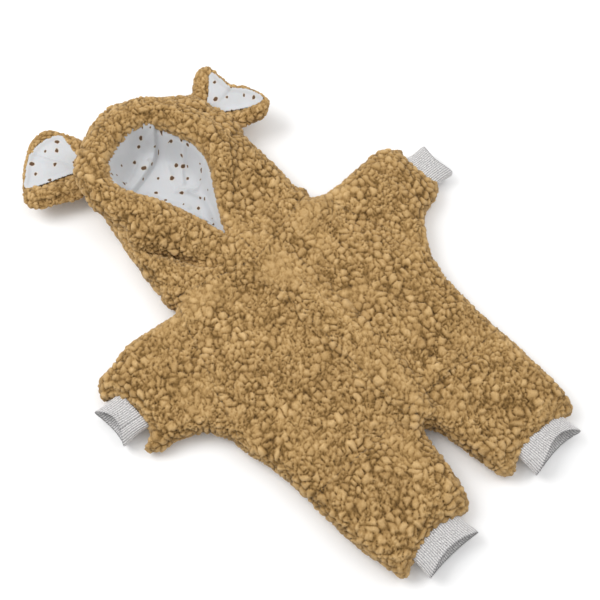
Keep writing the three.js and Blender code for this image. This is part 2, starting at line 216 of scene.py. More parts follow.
@dataclass(frozen=True)
class Curve2D:
    """A smooth closed or open line in plan, through a few chosen points."""

    points: tuple[tuple[float, float], ...]
    closed: bool = True
    steps: int = 6

    def line(self) -> Array:
        """Runs a smooth line through the chosen points.

        Returns:
            The line's points in metres, shape (n, 2).
        """
        p = np.array(self.points, float) * MM
        n = len(p)
        last = n if self.closed else n - 1
        out = []
        for i in range(last):
            a, b, c, d = (self._at(p, i + k) for k in (-1, 0, 1, 2))
            square = 2 * a - 5 * b + 4 * c - d
            cube = 3 * b - a - 3 * c + d
            for t in np.arange(self.steps) / self.steps:
                out.append(0.5 * (2 * b + (c - a) * t + square * t * t + cube * t**3))
        if not self.closed:
            out.append(p[-1])
        return np.array(out)

    def _at(self, p: Array, i: int) -> Array:
        """The chosen point i, wrapped round or held at the ends."""
        return p[i % len(p)] if self.closed else p[min(max(i, 0), len(p) - 1)]

    def distance(self, x: Array, y: Array) -> Array:
        """Signed distance in plan, below zero inside a closed line.

        Args:
            x: X of the places to measure.
            y: Y of the places to measure, of the same shape.

        Returns:
            The distances, in the same shape.
        """
        line = self.line()
        ends = np.roll(line, -1, 0) if self.closed else line[1:]
        starts = line if self.closed else line[:-1]
        best = np.full(x.shape, 1e9)
        inside = np.zeros(x.shape, bool)
        for (ax, ay), (bx, by) in zip(starts, ends):
            ex, ey = bx - ax, by - ay
            t = np.clip(((x - ax) * ex + (y - ay) * ey) / max(ex * ex + ey * ey, 1e-12), 0, 1)
            best = np.minimum(best, (x - ax - t * ex) ** 2 + (y - ay - t * ey) ** 2)
            if self.closed and ay != by:
                crosses = ((ay > y) != (by > y)) & (x < ex * (y - ay) / ey + ax)
                inside ^= crosses
        best = np.sqrt(best)
        return np.where(inside, -best, best) if self.closed else best


# ---------------------------------------------------------------- grid solids


@dataclass
class Grid:
    """A box of evenly spaced places in space."""

    low: Point
    high: Point
    step: float

    def __post_init__(self) -> None:
        """Lays out the three axes."""
        self.axes = [
            (lo + self.step * np.arange(int((hi - lo) / self.step) + 2)).astype(np.float32)
            for lo, hi in zip(self.low, self.high)
        ]

    def plan(self) -> tuple[Array, Array]:
        """X and Y over the plan, each shaped (nx, ny)."""
        return np.meshgrid(self.axes[0], self.axes[1], indexing="ij")

    def space(self) -> tuple[Array, Array, Array]:
        """X, Y and Z, shaped so that they spread over the whole grid."""
        ax, ay, az = self.axes
        return ax[:, None, None], ay[None, :, None], az[None, None, :]


@dataclass
class Skin:
    """A surface taken from a field: its points and its four-sided faces."""

    points: Array
    faces: Array


def one_corner(values: Array, corner: Sequence[int]) -> Array:
    """A grid's values at the same one of the eight corners of every cell.

    Args:
        values: The grid's values.
        corner: The corner, 0 or 1 along each axis.

    Returns:
        The values, one fewer along each axis.
    """
    spans = [slice(step, size - 1 + step) for step, size in zip(corner, values.shape)]
    return values[spans[0], spans[1], spans[2]]


def skin_of(volume: Array, grid: Grid) -> Skin:
    """The surface where a field on a grid passes through zero, one point per crossed cell.

    Args:
        volume: The field, below zero inside.
        grid: Its grid.

    Returns:
        The closed surface, faces turned outwards.
    """
    solid = volume < 0
    n = volume.shape
    corners = list(np.ndindex(2, 2, 2))
    count = sum(one_corner(solid, c).astype(np.int8) for c in corners)
    cells = np.argwhere((count > 0) & (count < 8))
    value = np.stack(
        [volume[cells[:, 0] + c[0], cells[:, 1] + c[1], cells[:, 2] + c[2]] for c in corners], 1
    )
    where = np.array(corners, np.float32)
    total = np.zeros((len(cells), 3), np.float32)
    hits = np.zeros(len(cells), np.float32)
    for i, a in enumerate(corners):
        for j in range(i + 1, 8):
            b = corners[j]
            if sum(abs(p - q) for p, q in zip(a, b)) != 1:
                continue
            va, vb = value[:, i], value[:, j]
            crossed = (va < 0) != (vb < 0)
            t = np.where(crossed, va / np.where(crossed, va - vb, 1), 0)
            total += np.where(crossed[:, None], where[i] + t[:, None] * (where[j] - where[i]), 0)
            hits += crossed
    local = total / hits[:, None]
    points = np.array(grid.low, np.float32) + (cells + local) * grid.step
    number = np.full([s - 1 for s in n], -1, np.int32)
    number[cells[:, 0], cells[:, 1], cells[:, 2]] = np.arange(len(cells))
    faces = []
    for axis in range(3):
        u, v = (axis + 1) % 3, (axis + 2) % 3
        ahead = [slice(None)] * 3
        behind = [slice(None)] * 3
        ahead[axis], behind[axis] = slice(1, None), slice(None, -1)
        change = solid[tuple(ahead)] != solid[tuple(behind)]
        edge = np.argwhere(change)
        edge = edge[(edge[:, u] > 0) & (edge[:, v] > 0)]
        edge = edge[(edge[:, u] < n[u] - 1) & (edge[:, v] < n[v] - 1)]
        ring = []
        for du, dv in ((1, 1), (0, 1), (0, 0), (1, 0)):
            cell = edge.copy()
            cell[:, u] -= du
            cell[:, v] -= dv
            ring.append(number[cell[:, 0], cell[:, 1], cell[:, 2]])
        quad = np.stack(ring, 1)
        outward = solid[edge[:, 0], edge[:, 1], edge[:, 2]]
        quad[outward] = quad[outward][:, ::-1]
        faces.append(quad[:, ::-1])
    return Skin(points, np.concatenate(faces))


def field_at(volume: Array, points: Array, low: Point, step: float) -> tuple[Array, Array]:
    """A grid field's value and slope at points, by blending the grid's corners.

    Args:
        volume: The field.
        points: Points, shape (n, 3).
        low: The grid's first corner.
        step: The grid's step.

    Returns:
        Values, and unit slopes of shape (n, 3).
    """
    q = (points - np.array(low)) / step
    cell = np.clip(np.floor(q).astype(int), 1, np.array(volume.shape) - 3)
    f = q - cell
    value = np.zeros(len(points))
    slope = np.zeros((len(points), 3))
    for corner in np.ndindex(2, 2, 2):
        at = cell + corner
        w = np.prod(np.where(np.array(corner) == 1, f, 1 - f), 1)
        value += w * volume[at[:, 0], at[:, 1], at[:, 2]]
        for k in range(3):
            ahead, behind = at.copy(), at.copy()
            ahead[:, k] += 1
            behind[:, k] -= 1
            change = volume[tuple(ahead.T)] - volume[tuple(behind.T)]
            slope[:, k] += w * change
    slope /= np.maximum(np.linalg.norm(slope, axis=1), 1e-9)[:, None]
    return value, slope


def mesh_object(name: str, points: Array, faces: Array, attributes: dict[str, Array] | None = None,
                smooth: bool = True) -> bpy.types.Object:
    """A mesh object from arrays.

    Args:
        name: The object's name.
        points: Points, shape (n, 3).
        faces: Faces of three or four corners each, shape (m, 3) or (m, 4).
        attributes: Values per point, by name: one number each or three.
        smooth: Whether it's shaded smooth.

    Returns:
        The object, linked to the scene.
    """
    used = np.unique(faces)
    renumber = np.full(len(points), -1, np.int64)
    renumber[used] = np.arange(len(used))
    faces = renumber[faces]
    sides = faces.shape[1]
    mesh = bpy.data.meshes.new(name)
    mesh.vertices.add(len(used))
    mesh.vertices.foreach_set("co", points[used].astype(np.float32).ravel())
    mesh.loops.add(faces.size)
    mesh.loops.foreach_set("vertex_index", faces.astype(np.int32).ravel())
    mesh.polygons.add(len(faces))
    mesh.polygons.foreach_set("loop_start", np.arange(0, faces.size, sides, dtype=np.int32))
    mesh.polygons.foreach_set("use_smooth", np.full(len(faces), smooth))
    for key, values in (attributes or {}).items():
        kind, slot_name = ("FLOAT", "value") if values.ndim == 1 else ("FLOAT_VECTOR", "vector")
        layer = mesh.attributes.new(key, kind, "POINT")
        layer.data.foreach_set(slot_name, values[used].astype(np.float32).ravel())
    mesh.update(calc_edges=True)
    mesh.validate()
    made = bpy.data.objects.new(name, mesh)
    bpy.context.scene.collection.objects.link(made)
    return made


def plan_faces(keep: Array) -> Array:
    """The faces of a sheet whose points lie on a grid in plan, where all four corners are kept.

    Args:
        keep: Which points belong to the sheet, shape (nx, ny).

    Returns:
        The faces, shape (m, 4), numbered over the whole grid.
    """
    index = np.arange(keep.size).reshape(keep.shape)
    corners = [part[span] for part in (index, keep) for span in
               (np.s_[:-1, :-1], np.s_[1:, :-1], np.s_[1:, 1:], np.s_[:-1, 1:])]
    quads = np.stack(corners[:4], -1).reshape(-1, 4)
    return quads[np.logical_and.reduce(corners[4:]).ravel()]


# ---------------------------------------------------------------- finishes


class Shader:
    """A short way to lay out one node material."""

    def __init__(self, name: str, roughness: float) -> None:
        """Starts a material with its surface shader.

        Args:
            name: The material's name.
            roughness: The surface's roughness.
        """
        self.material = bpy.data.materials.new(name)
        self.material.use_nodes = True
        self.nodes = self.material.node_tree.nodes
        self.links = self.material.node_tree.links
        self.surface = self.nodes["Principled BSDF"]
        self.surface.inputs["Roughness"].default_value = roughness

    def add(self, kind: str, settings: dict | None = None, **inputs: object) -> bpy.types.Node:
        """Adds a node.

        Args:
            kind: The node's type, without its ShaderNode prefix.
            settings: Properties to set on it.
            **inputs: Socket name (underscores for spaces) to a value or to a socket to link.

        Returns:
            The node.
        """
        node = self.nodes.new("ShaderNode" + kind)
        for key, value in (settings or {}).items():
            setattr(node, key, value)
        for key, value in inputs.items():
            self.feed(node, key.replace("_", " "), value)
        return node

    def feed(self, node: bpy.types.Node, key: str | int, value: object) -> None:
        """Sets or links one input of a node.

        Args:
            node: The node.
            key: The input's name or number.
            value: A value, or the output socket to link.
        """
        socket = node.inputs[key]
        if isinstance(value, bpy.types.NodeSocket):
            self.links.new(value, socket)
        else:
            socket.default_value = value

    def maths(self, operation: str, a: object, b: object = 0.0,
              clamp: bool = False) -> bpy.types.NodeSocket:
        """One sum of two numbers.

        Args:
            operation: The Math node's operation.
            a: First number or socket.
            b: Second number or socket.
            clamp: Whether to keep the result in 0..1.

        Returns:
            The result's socket.
        """
        node = self.add("Math", {"operation": operation, "use_clamp": clamp})
        self.feed(node, 0, a)
        self.feed(node, 1, b)
        return node.outputs[0]

    def attribute(self, name: str) -> bpy.types.Node:
        """Reads a value per point of the mesh."""
        return self.add("Attribute", {"attribute_name": name})

    def mix(self, factor: object, a: object, b: object, how: str = "MIX") -> bpy.types.NodeSocket:
        """Mixes two colours.

        Args:
            factor: How much of b.
            a: First colour or socket.
            b: Second colour or socket.
            how: The blend type.

        Returns:
            The mixed colour's socket.
        """
        node = self.add("Mix", {"data_type": "RGBA", "blend_type": how})
        self.feed(node, 0, factor)
        self.feed(node, 6, a)
        self.feed(node, 7, b)
        return node.outputs[2]

    def ramp(self, value: bpy.types.NodeSocket,
             stops: Iterable[tuple[float, tuple]]) -> bpy.types.NodeSocket:
        """Colours along a number.

        Args:
            value: The number's socket.
            stops: Pairs of place in 0..1 and linear colour.

        Returns:
            The colour's socket.
        """
        node = self.add("ValToRGB")
        elements = node.color_ramp.elements
        wanted = list(stops)
        while len(elements) < len(wanted):
            elements.new(0.5)
        for element, (place, colour) in zip(elements, wanted):
            element.position = place
            element.color = (*colour, 1.0)
        self.feed(node, 0, value)
        return node.outputs[0]

    def noise(self, scale: float, detail: float = 3.0, where: object = None) -> bpy.types.NodeSocket:
        """Noise in the object's own space.

        Args:
            scale: Waves per metre.
            detail: Finer layers on top.
            where: Coordinates to use in place of the object's.

        Returns:
            The noise's socket, around 0.5.
        """
        node = self.add("TexNoise", Scale=scale, Detail=detail, Roughness=0.6)
        self.feed(node, 0, where or self.place())
        return node.outputs[0]

    def place(self) -> bpy.types.NodeSocket:
        """The object's own coordinates, in metres."""
        return self.add("TexCoord").outputs["Object"]

    def bump(self, height: bpy.types.NodeSocket, distance: float, strength: float = 1.0,
             after: bpy.types.NodeSocket | None = None) -> bpy.types.NodeSocket:
        """Small relief.

        Args:
            height: The relief's height in 0..1.
            distance: What a height of 1 stands for, in metres.
            strength: Share of it that shows.
            after: Another relief to add to.

        Returns:
            The normal's socket.
        """
        node = self.add("Bump", Strength=strength, Distance=distance, Height=height)
        if after is not None:
            self.feed(node, "Normal", after)
        return node.outputs[0]

    def finish(self, colour: object, normal: bpy.types.NodeSocket | None = None,
               **fixed: object) -> bpy.types.Material:
        """Joins colour and relief to the surface.

        Args:
            colour: The base colour or its socket.
            normal: The relief's socket.
            **fixed: Values the same all over, by socket name.

        Returns:
            The finished material.
        """
        self.feed(self.surface, "Base Color", colour)
        if normal is not None:
            self.feed(self.surface, "Normal", normal)
        for key, value in fixed.items():
            self.surface.inputs[key.replace("_", " ")].default_value = value
        return self.material


@dataclass(frozen=True)
class PileFinish:
    """Curly pile coloured by the height of its curls: painted shade darkens the clefts and a painted highlight
    makes the soft tops of the curls pale.
    """

    name: str = "pile_fleece"
    # painted shade: the colour at the bottom of the clefts
    deep: tuple = (0.045, 0.021, 0.005)
    # painted shade on the lower sides of the curls
    low: tuple = (0.215, 0.125, 0.041)
    middle: tuple = (0.42, 0.268, 0.110)
    # painted highlight: the colour on the tops of the curls
    high: tuple = (0.60, 0.415, 0.205)

    def material(self) -> bpy.types.Material:
        """Builds the material.

        Returns:
            The material.
        """
        s = Shader(self.name, 0.95)
        height = s.attribute("pile").outputs["Fac"]
        tone = s.attribute("tone").outputs["Fac"]
        fibres = s.noise(850.0, 4.0)
        patches = s.noise(30.0, 3.0)
        lifted = s.maths("ADD", height, s.maths("MULTIPLY", s.maths("SUBTRACT", fibres, 0.5), 0.5))
        # colour by curl height, from painted shade in the clefts to a painted highlight on the tops
        stops = [(0.10, self.deep), (0.42, self.low), (0.66, self.middle), (1.0, self.high)]
        colour = s.ramp(lifted, stops)
        mixed = s.maths("ADD", s.maths("MULTIPLY", patches, 0.5), s.maths("MULTIPLY", tone, 0.5))
        shade = s.ramp(mixed, [(0.25, (0.82, 0.77, 0.70)), (0.75, (1.12, 1.10, 1.06))])
        colour = s.mix(1.0, colour, shade, "MULTIPLY")
        relief = s.bump(s.noise(450.0, 5.0), 0.0012, 0.8)
        relief = s.bump(fibres, 0.0006, 0.7, relief)
        return s.finish(colour, relief, Sheen_Weight=0.3, Sheen_Roughness=0.5,
                        Sheen_Tint=(1.0, 0.86, 0.62, 1.0), Specular_IOR_Level=0.1)


@dataclass(frozen=True)
class SpottedJersey:
    """Off-white cotton jersey with scattered brown spots, each with a pale edge."""

    name: str = "jersey_lining"
    ground: tuple = (0.56, 0.57, 0.585)
    spot: tuple = (0.115, 0.065, 0.035)
    halo: tuple = (0.62, 0.575, 0.52)
    spacing: float = 0.0195

    def material(self, coordinates: str | None = None) -> bpy.types.Material:
        """Builds the material.

        Args:
            coordinates: The attribute that holds the cloth's flat coordinates, or None for the
                object's own.

        Returns:
            The material.
        """
        s = Shader(self.name + ("_flat" if coordinates else ""), 0.85)
        where = s.attribute(coordinates).outputs["Vector"] if coordinates else s.place()
        wobble = s.add("TexNoise", Scale=180.0, Detail=1.0, Vector=where).outputs["Color"]
        shift = s.add("VectorMath", {"operation": "MULTIPLY_ADD"})
        s.feed(shift, 0, wobble)
        s.feed(shift, 1, (0.004,) * 3)
        s.feed(shift, 2, where)
        flat = {"feature": "F1", "voronoi_dimensions": "2D"}
        spots = s.add("TexVoronoi", flat, Scale=1 / self.spacing, Randomness=0.9)
        s.feed(spots, "Vector", shift.outputs[0])
        size = s.add("SeparateColor", Color=spots.outputs["Color"]).outputs[0]
        radius = s.maths("ADD", s.maths("MULTIPLY", size, 0.105), 0.065)
        edge = s.maths("DIVIDE", spots.outputs["Distance"], radius)
        inside = s.maths("MULTIPLY", s.maths("SUBTRACT", 1.0, edge), 5.0, clamp=True)
        ring = s.maths("MULTIPLY", s.maths("SUBTRACT", 1.35, edge), 4.0, clamp=True)
        shaded = tuple(c * 0.94 for c in self.ground)
        clouds = s.ramp(s.noise(45.0, 2.0), [(0.3, shaded), (0.7, self.ground)])
        colour = s.mix(ring, clouds, (*self.halo, 1.0))
        colour = s.mix(inside, colour, (*self.spot, 1.0))
        knit = s.add("TexWave", {"bands_direction": "X"}, Scale=170.0, Distortion=1.5, Detail=1.0,
                     Vector=where)
        relief = s.bump(knit.outputs[0], 0.00012, 0.5)
        relief = s.bump(s.noise(130.0, 3.0), 0.0006, 0.35, relief)
        return s.finish(colour, relief, Sheen_Weight=0.15, Sheen_Roughness=0.5, Specular_IOR_Level=0.2,
                        Subsurface_Weight=0.05, Subsurface_Scale=0.002)


@dataclass(frozen=True)
class HeatherRib:
    """Rib knit in mixed pale grey yarn, with painted shade between the ribs."""

    name: str = "rib_knit"
    light: tuple = (0.74, 0.725, 0.715)
    dark: tuple = (0.36, 0.35, 0.35)

    def material(self) -> bpy.types.Material:
        """Builds the material.

        Returns:
            The material.
        """
        s = Shader(self.name, 0.9)
        rib = s.attribute("rib").outputs["Fac"]
        where = s.attribute("cloth").outputs["Vector"]
        stretched = s.add("Mapping", Scale=(1.0, 0.35, 1.0), Vector=where).outputs[0]
        flecks = s.noise(1100.0, 2.0, stretched)
        colour = s.ramp(flecks, [(0.36, self.dark), (0.52, self.light), (0.8, (0.80, 0.79, 0.785))])
        # painted shade: darkens the colour in the grooves between the ribs
        painted_groove_shade = s.ramp(rib, [(0.0, (0.50, 0.50, 0.52)), (0.55, (1.0, 1.0, 1.0))])
        colour = s.mix(1.0, colour, painted_groove_shade, "MULTIPLY")
        rows = s.add("TexWave", {"bands_direction": "Y"}, Scale=230.0, Distortion=2.0, Detail=1.0,
                     Vector=where)
        relief = s.bump(rows.outputs[0], 0.0003, 0.7)
        relief = s.bump(flecks, 0.0003, 0.5, relief)
        return s.finish(colour, relief, Sheen_Weight=0.2, Sheen_Roughness=0.5, Specular_IOR_Level=0.2)


@dataclass(frozen=True)
class WovenTape:
    """Narrow woven or satin tape."""

    name: str
    colour: tuple
    roughness: float = 0.75
    pitch: float = 0.0009

    def material(self) -> bpy.types.Material:
        """Builds the material.

        Returns:
            The material.
        """
        s = Shader(self.name, self.roughness)
        where = s.place()
        scale = 1 / self.pitch / 2
        across = s.add("TexWave", {"bands_direction": "X"}, Scale=scale, Distortion=0.4, Vector=where)
        along = s.add("TexWave", {"bands_direction": "Y"}, Scale=scale, Distortion=0.4, Vector=where)
        weave = s.maths("MULTIPLY", across.outputs[0], along.outputs[0])
        dark = tuple(c * 0.7 for c in self.colour)
        colour = s.mix(s.noise(90.0), (*dark, 1.0), (*self.colour, 1.0))
        return s.finish(colour, s.bump(weave, 0.00025, 0.8), Sheen_Weight=0.1, Specular_IOR_Level=0.25)


@dataclass(frozen=True)
class HardTrim:
    """The zip's nylon or metal."""

    name: str
    colour: tuple
    roughness: float
    metallic: float

    def material(self) -> bpy.types.Material:
        """Builds the material.

        Returns:
            The material.
        """
        s = Shader(self.name, self.roughness)
        worn = tuple(min(1.0, c * 1.35) for c in self.colour)
        scratches = s.noise(700.0, 5.0)
        colour = s.mix(scratches, (*self.colour, 1.0), (*worn, 1.0))
        return s.finish(colour, s.bump(scratches, 0.00008, 0.6), Metallic=self.metallic)


# ---------------------------------------------------------------- the shape of the suit


@dataclass
class SuitForm:
    """The outer shape of body, sleeves, legs and hood as one soft field, before it's cut into panels.

    Attributes:
        step: The grid's step.
        thickness: From the middle of the pile to the inside of the fleece.
        half_height: Half of the body's thickness as it lies.
        pile_room: Room left for the curls outside the field.
        placket_rise: How much the front stands up along the closure.
        zip_cover: Fleece above the zip slider.
        hood_floor: Height of the lining at the bottom of the hood.
        bowl_floor: Least height of the fleece under that lining.
        bowl_drop: How far the fleece lies under the lining further up.
        bare_drop: Down from the lining to where the pile starts to be left out.
        bowl_reach: How far the hollow runs on under the opening's edge.
        bare_reach: How far the fleece without pile runs on under it.
        grain: The noise of its waves.
    """

    step: float
    thickness: float = 4.5 * MM
    half_height: float = 18 * MM
    pile_room: float = 2 * MM
    placket_rise: float = 3.5 * MM
    zip_cover: float = 3.0 * MM
    hood_floor: float = 8.5 * MM
    bowl_floor: float = 5.4 * MM
    bowl_drop: float = 4.5 * MM
    bare_drop: float = 3.0 * MM
    bowl_reach: float = 8 * MM
    bare_reach: float = 6 * MM
    grain: Grain = field(default_factory=Grain)

    outline = Curve2D(
        (
            (90, 80), (97, 62), (124, 54), (163, 55), (202, 56), (218, 48), (231, 38), (226, 26),
            (229, -12), (230, -24), (217, -34), (193, -41), (178, -53), (164, -72), (153, -93),
            (146, -122), (143, -173), (144, -223), (144, -270), (142, -307), (134, -325), (120, -323),
            (85, -321), (50, -321), (36, -329), (25, -320), (19, -298), (15, -272), (9, -243),
            (-1, -229), (-7, -248), (-11, -274), (-18, -306), (-27, -322), (-42, -322), (-76, -317),
            (-110, -322), (-128, -328), (-134, -311), (-143, -270), (-146, -223), (-148, -183),
            (-152, -150), (-160, -120), (-165, -94), (-178, -71), (-205, -57), (-227, -52),
            (-239, -40), (-222, -26), (-225, 25), (-238, 34), (-228, 54), (-203, 57), (-176, 64),
            (-138, 60), (-108, 55), (-97, 60), (-99, 80),
        )
    )
    hood_outline = Curve2D(
        (
            (96, 30), (97, 62), (99, 100), (99, 135), (98, 170), (105, 205), (97, 235), (90, 262),
            (66, 284), (41, 305), (16, 322), (-7, 325), (-32, 318), (-57, 303), (-72, 279), (-89, 255),
            (-95, 216),
            (-101, 178), (-106, 146), (-110, 117), (-111, 90), (-106, 58), (-100, 30),
        )
    )
    face_outline = Curve2D(
        (
            (-7, 90), (-16, 116), (-28, 143), (-43, 170), (-56, 191), (-65, 212), (-64, 232),
            (-51, 249), (-31, 261), (-8, 267), (11, 262), (24, 245), (33, 224), (40, 203), (40, 184),
            (34, 165), (24, 147), (12, 126), (1, 106),
        )
    )
    roll_crease = Curve2D(((-106, 190), (-98, 158), (-86, 134), (-70, 113), (-58, 92), (-44, 72)), False)
    closure = Curve2D(((4, 92), (14, 60), (18, 20), (20, -40), (20, -110), (16, -170), (8, -222)), False)

    def __post_init__(self) -> None:
        """Works out the fields that every panel is cut from."""
        low = Vector(CAD_BOX[0]) - Vector((0.012, 0.012, 0.006))
        high = Vector(CAD_BOX[1]) + Vector((0.012, 0.012, 0.012))
        self.grid = Grid((-0.262, low.y, low.z), (0.262, high.y, high.z), self.step)
        x, y = self.grid.plan()
        z = self.grid.space()[2]
        body = self._body(x, y, z)
        hood, roll = self._hood(x, y, z)
        joined = soft_union(body, hood, 16 * MM)
        self.cavity = joined.astype(np.float32)
        joined = np.maximum(joined, -self._bowl(x, y, z))
        outer = soft_union(joined, roll, 4 * MM)
        for side in Side:
            outer = np.maximum(outer, -self._cuff_bore(side, x, y, z))
        self.outer = outer.astype(np.float32)

    def lining_height(self, face: Array, y: Array) -> Array:
        """Height of the smooth bowl that the hood's lining lies in.

        Args:
            face: Distance to the edge of the opening, below zero inside it.
            y: Y of the places.

        Returns:
            The heights.
        """
        edge = (30 + 19 * smoothstep(0.085, 0.19, y) - 4 * smoothstep(0.24, 0.29, y)) * MM
        wall = smoothstep(-24 * MM, 2 * MM, face)
        return self.hood_floor + (edge - self.hood_floor) * wall**1.5

    def _bowl(self, x: Array, y: Array, z: Array) -> Array:
        """The hollow of the hood that shows through its opening.

        Args:
            x: X over the plan.
            y: Y over the plan.
            z: Heights of the grid.

        Returns:
            The field on the grid.
        """
        face = self.face_outline.distance(x, y)
        under = np.maximum(self.lining_height(face, y) - self.bowl_drop, self.bowl_floor)
        return np.maximum((face - self.bowl_reach)[:, :, None], under[:, :, None] - z)

    def under_lining(self, p: Array) -> Array:
        """Which points of the skin lie in the bowl under the hood's lining, where there's no pile.

        Args:
            p: Points, shape (n, 3).

        Returns:
            True for those points.
        """
        face = self.face_outline.distance(p[:, 0], p[:, 1])
        top = np.maximum(self.lining_height(face, p[:, 1]) - self.bare_drop, self.bowl_floor + 0.8 * MM)
        return (face < self.bare_reach) & (p[:, 2] < top)

    def _cuff_bore(self, side: Side, x: Array, y: Array, z: Array) -> Array:
        """The ways out of sleeve and leg on one side, which the cuffs are sewn into.

        Args:
            side: Which side.
            x: X over the plan.
            y: Y over the plan.
            z: Heights of the grid.

        Returns:
            The field on the grid.
        """
        s = side.value
        fields = []
        for limb, half in (("sleeve", 22 * MM), ("leg", 32 * MM)):
            low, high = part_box(f"{side.word}_{limb}_cuff")
            middle = (low + high) / 2
            if limb == "sleeve":
                across, along = y - middle.y, 0.192 - s * x
            else:
                across, along = x - middle.x - 6 * MM, y + 0.288
            oval = np.sqrt((across / half)[:, :, None] ** 2 + ((z - 17 * MM) / (8 * MM)) ** 2)
            fields.append(np.maximum((oval - 1) * 8 * MM, along[:, :, None]))
        return np.minimum(*fields)

    @staticmethod
    def _cushion(plan: Array, z: Array, middle: Array, half: Array, rounding: Array) -> Array:
        """A plan outline thickened with rounded edges.

        Args:
            plan: Distance to the outline, over the plan.
            z: Heights of the grid.
            middle: Height of the middle, over the plan.
            half: Half of the thickness, over the plan.
            rounding: Radius of the edges, over the plan.

        Returns:
            The field on the grid.
        """
        across = (plan + rounding)[:, :, None]
        up = np.abs(z - middle[:, :, None]) - (half - rounding)[:, :, None]
        outside = np.sqrt(np.maximum(across, 0) ** 2 + np.maximum(up, 0) ** 2)
        inside = np.minimum(np.maximum(across, up), 0)
        return outside + inside - rounding[:, :, None]

    def _body(self, x: Array, y: Array, z: Array) -> Array:
        """Body, sleeves and legs.

        Args:
            x: X over the plan.
            y: Y over the plan.
            z: Heights of the grid.

        Returns:
            The field on the grid.
        """
        plan = self.outline.distance(x, y) + self.pile_room * 0.5
        flat = np.stack([x.ravel(), y.ravel(), np.zeros(x.size)], 1)
        waves = self.grain.smooth(flat, 0.055, 3).reshape(x.shape) * 1.6 * MM
        waves += self.grain.smooth(flat, 0.022, 4).reshape(x.shape) * 0.7 * MM
        half = self.half_height - self.pile_room / 2 + waves
        for line, depth, width in self.folds():
            half = half - depth * np.exp(-((line.distance(x, y) / width) ** 2)) / 2
        placket = self.closure.distance(x, y)
        half = half + self.placket_rise / 2 * smoothstep(20 * MM, 9 * MM, placket)
        needed = (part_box("zip_slider")[1].z + self.zip_cover) / 2
        over_zip = smoothstep(26 * MM, 10 * MM, np.abs(x)) * smoothstep(-0.236, -0.22, y)
        half = half + over_zip * np.maximum(needed - half, 0)
        thin = smoothstep(-0.232, -0.2, -np.abs(x)) * smoothstep(-0.328, -0.29, y)
        half = half * (0.72 + 0.28 * thin)
        middle = half + self.pile_room
        return self._cushion(plan, z, middle, half, half * 0.96)

    @staticmethod
    def folds() -> list[tuple[Curve2D, float, float]]:
        """Soft creases of the cloth.

        Returns:
            For each crease its line in plan, its depth and its width.
        """
        return [
            (Curve2D(((-166, -96), (-140, -62), (-118, -20), (-112, 24)), False), 3 * MM, 9 * MM),
            (Curve2D(((160, -86), (138, -50), (120, -6), (116, 30)), False), 3 * MM, 9 * MM),
            (Curve2D(((-4, -226), (-40, -206), (-92, -200)), False), 4 * MM, 8 * MM),
            (Curve2D(((2, -226), (44, -210), (100, -206)), False), 3.5 * MM, 8 * MM),
            (Curve2D(((-204, -52), (-190, -20), (-196, 10)), False), 2 * MM, 8 * MM),
            (Curve2D(((200, 50), (188, 18), (194, -20)), False), 2 * MM, 8 * MM),
            (Curve2D(((-9, 74), (-11, 20), (-12, -90), (-9, -206)), False), 1.6 * MM, 3.5 * MM),
        ]

    def _hood(self, x: Array, y: Array, z: Array) -> tuple[Array, Array]:
        """Hood and the thick roll of its front edge.

        Args:
            x: X over the plan.
            y: Y over the plan.
            z: Heights of the grid.

        Returns:
            The two fields on the grid.
        """
        plan = self.hood_outline.distance(x, y) + self.pile_room * 0.5
        rise = smoothstep(0.07, 0.17, y)
        crown = smoothstep(0.24, 0.335, y)
        top = (37 + 15 * rise - 16 * crown) * MM
        top = top - 15 * MM * np.exp(-((self.roll_crease.distance(x, y) / (9 * MM)) ** 2))
        half = top / 2
        hood = self._cushion(plan, z, half + self.pile_room * 0.6, half, half * 0.97)
        face = self.face_outline.distance(x, y)
        flat = np.stack([x.ravel(), y.ravel(), np.zeros(x.size)], 1)
        lumpy = self.grain.smooth(flat, 0.034, 9).reshape(x.shape)
        thick = (9.5 + 6.3 * smoothstep(0.075, 0.17, y) + 1.2 * lumpy) * MM
        height = (29 + 22 * smoothstep(0.07, 0.19, y) - 5 * smoothstep(0.24, 0.30, y)) * MM
        stretch = 1.22 + 0.95 * smoothstep(0.0, -0.03, x) * smoothstep(0.175, 0.135, y)
        out = ((face - thick * stretch + 1.0 * MM) / stretch)[:, :, None]
        up = z - height[:, :, None]
        roll = np.sqrt(out**2 + up**2) - thick[:, :, None]
        below_chin = (0.058 - y)[:, :, None]
        return hood, np.maximum(roll, below_chin)

    def brushed(self, p: Array) -> Array:
        """Where the pile lies flat and combed: along the closure, shoulders, hems and in loose patches.

        Args:
            p: Points, shape (n, 3).

        Returns:
            0 for full curls to 1 for combed, per point.
        """
        x, y = p[:, 0], p[:, 1]
        ragged = self.grain.smooth(p, 0.018, 11) * 6 * MM
        front = smoothstep(0.02, 0.03, p[:, 2])
        closure = smoothstep(13 * MM, 3 * MM, self.closure.distance(x, y) + ragged) * front
        off_seam = np.abs(y - 0.046 + 0.14 * np.abs(np.abs(x) - 0.105))
        shoulder = smoothstep(0.024, 0.006, off_seam + ragged)
        shoulder *= smoothstep(0.04, 0.07, np.abs(x)) * smoothstep(0.17, 0.13, np.abs(x)) * front
        chest = smoothstep(30 * MM, 10 * MM, np.hypot(x - 0.007, y - 0.013) + ragged) * front
        ends = smoothstep(0.205, 0.23, np.abs(x) + ragged)
        hems = smoothstep(-0.300, -0.322, y + ragged)
        face = self.face_outline.distance(x, y)
        lip = smoothstep(9 * MM, 2 * MM, np.abs(face) + ragged * 0.4) * smoothstep(0.06, 0.09, y)
        loose = smoothstep(0.25, 0.8, self.grain.smooth(p, 0.034, 12)) * 0.45
        worn = [0.4 * closure, 0.6 * shoulder, 0.7 * chest, 0.4 * ends, 0.5 * hems, 0.45 * lip, loose]
        return np.clip(np.maximum.reduce(worn), 0, 1)


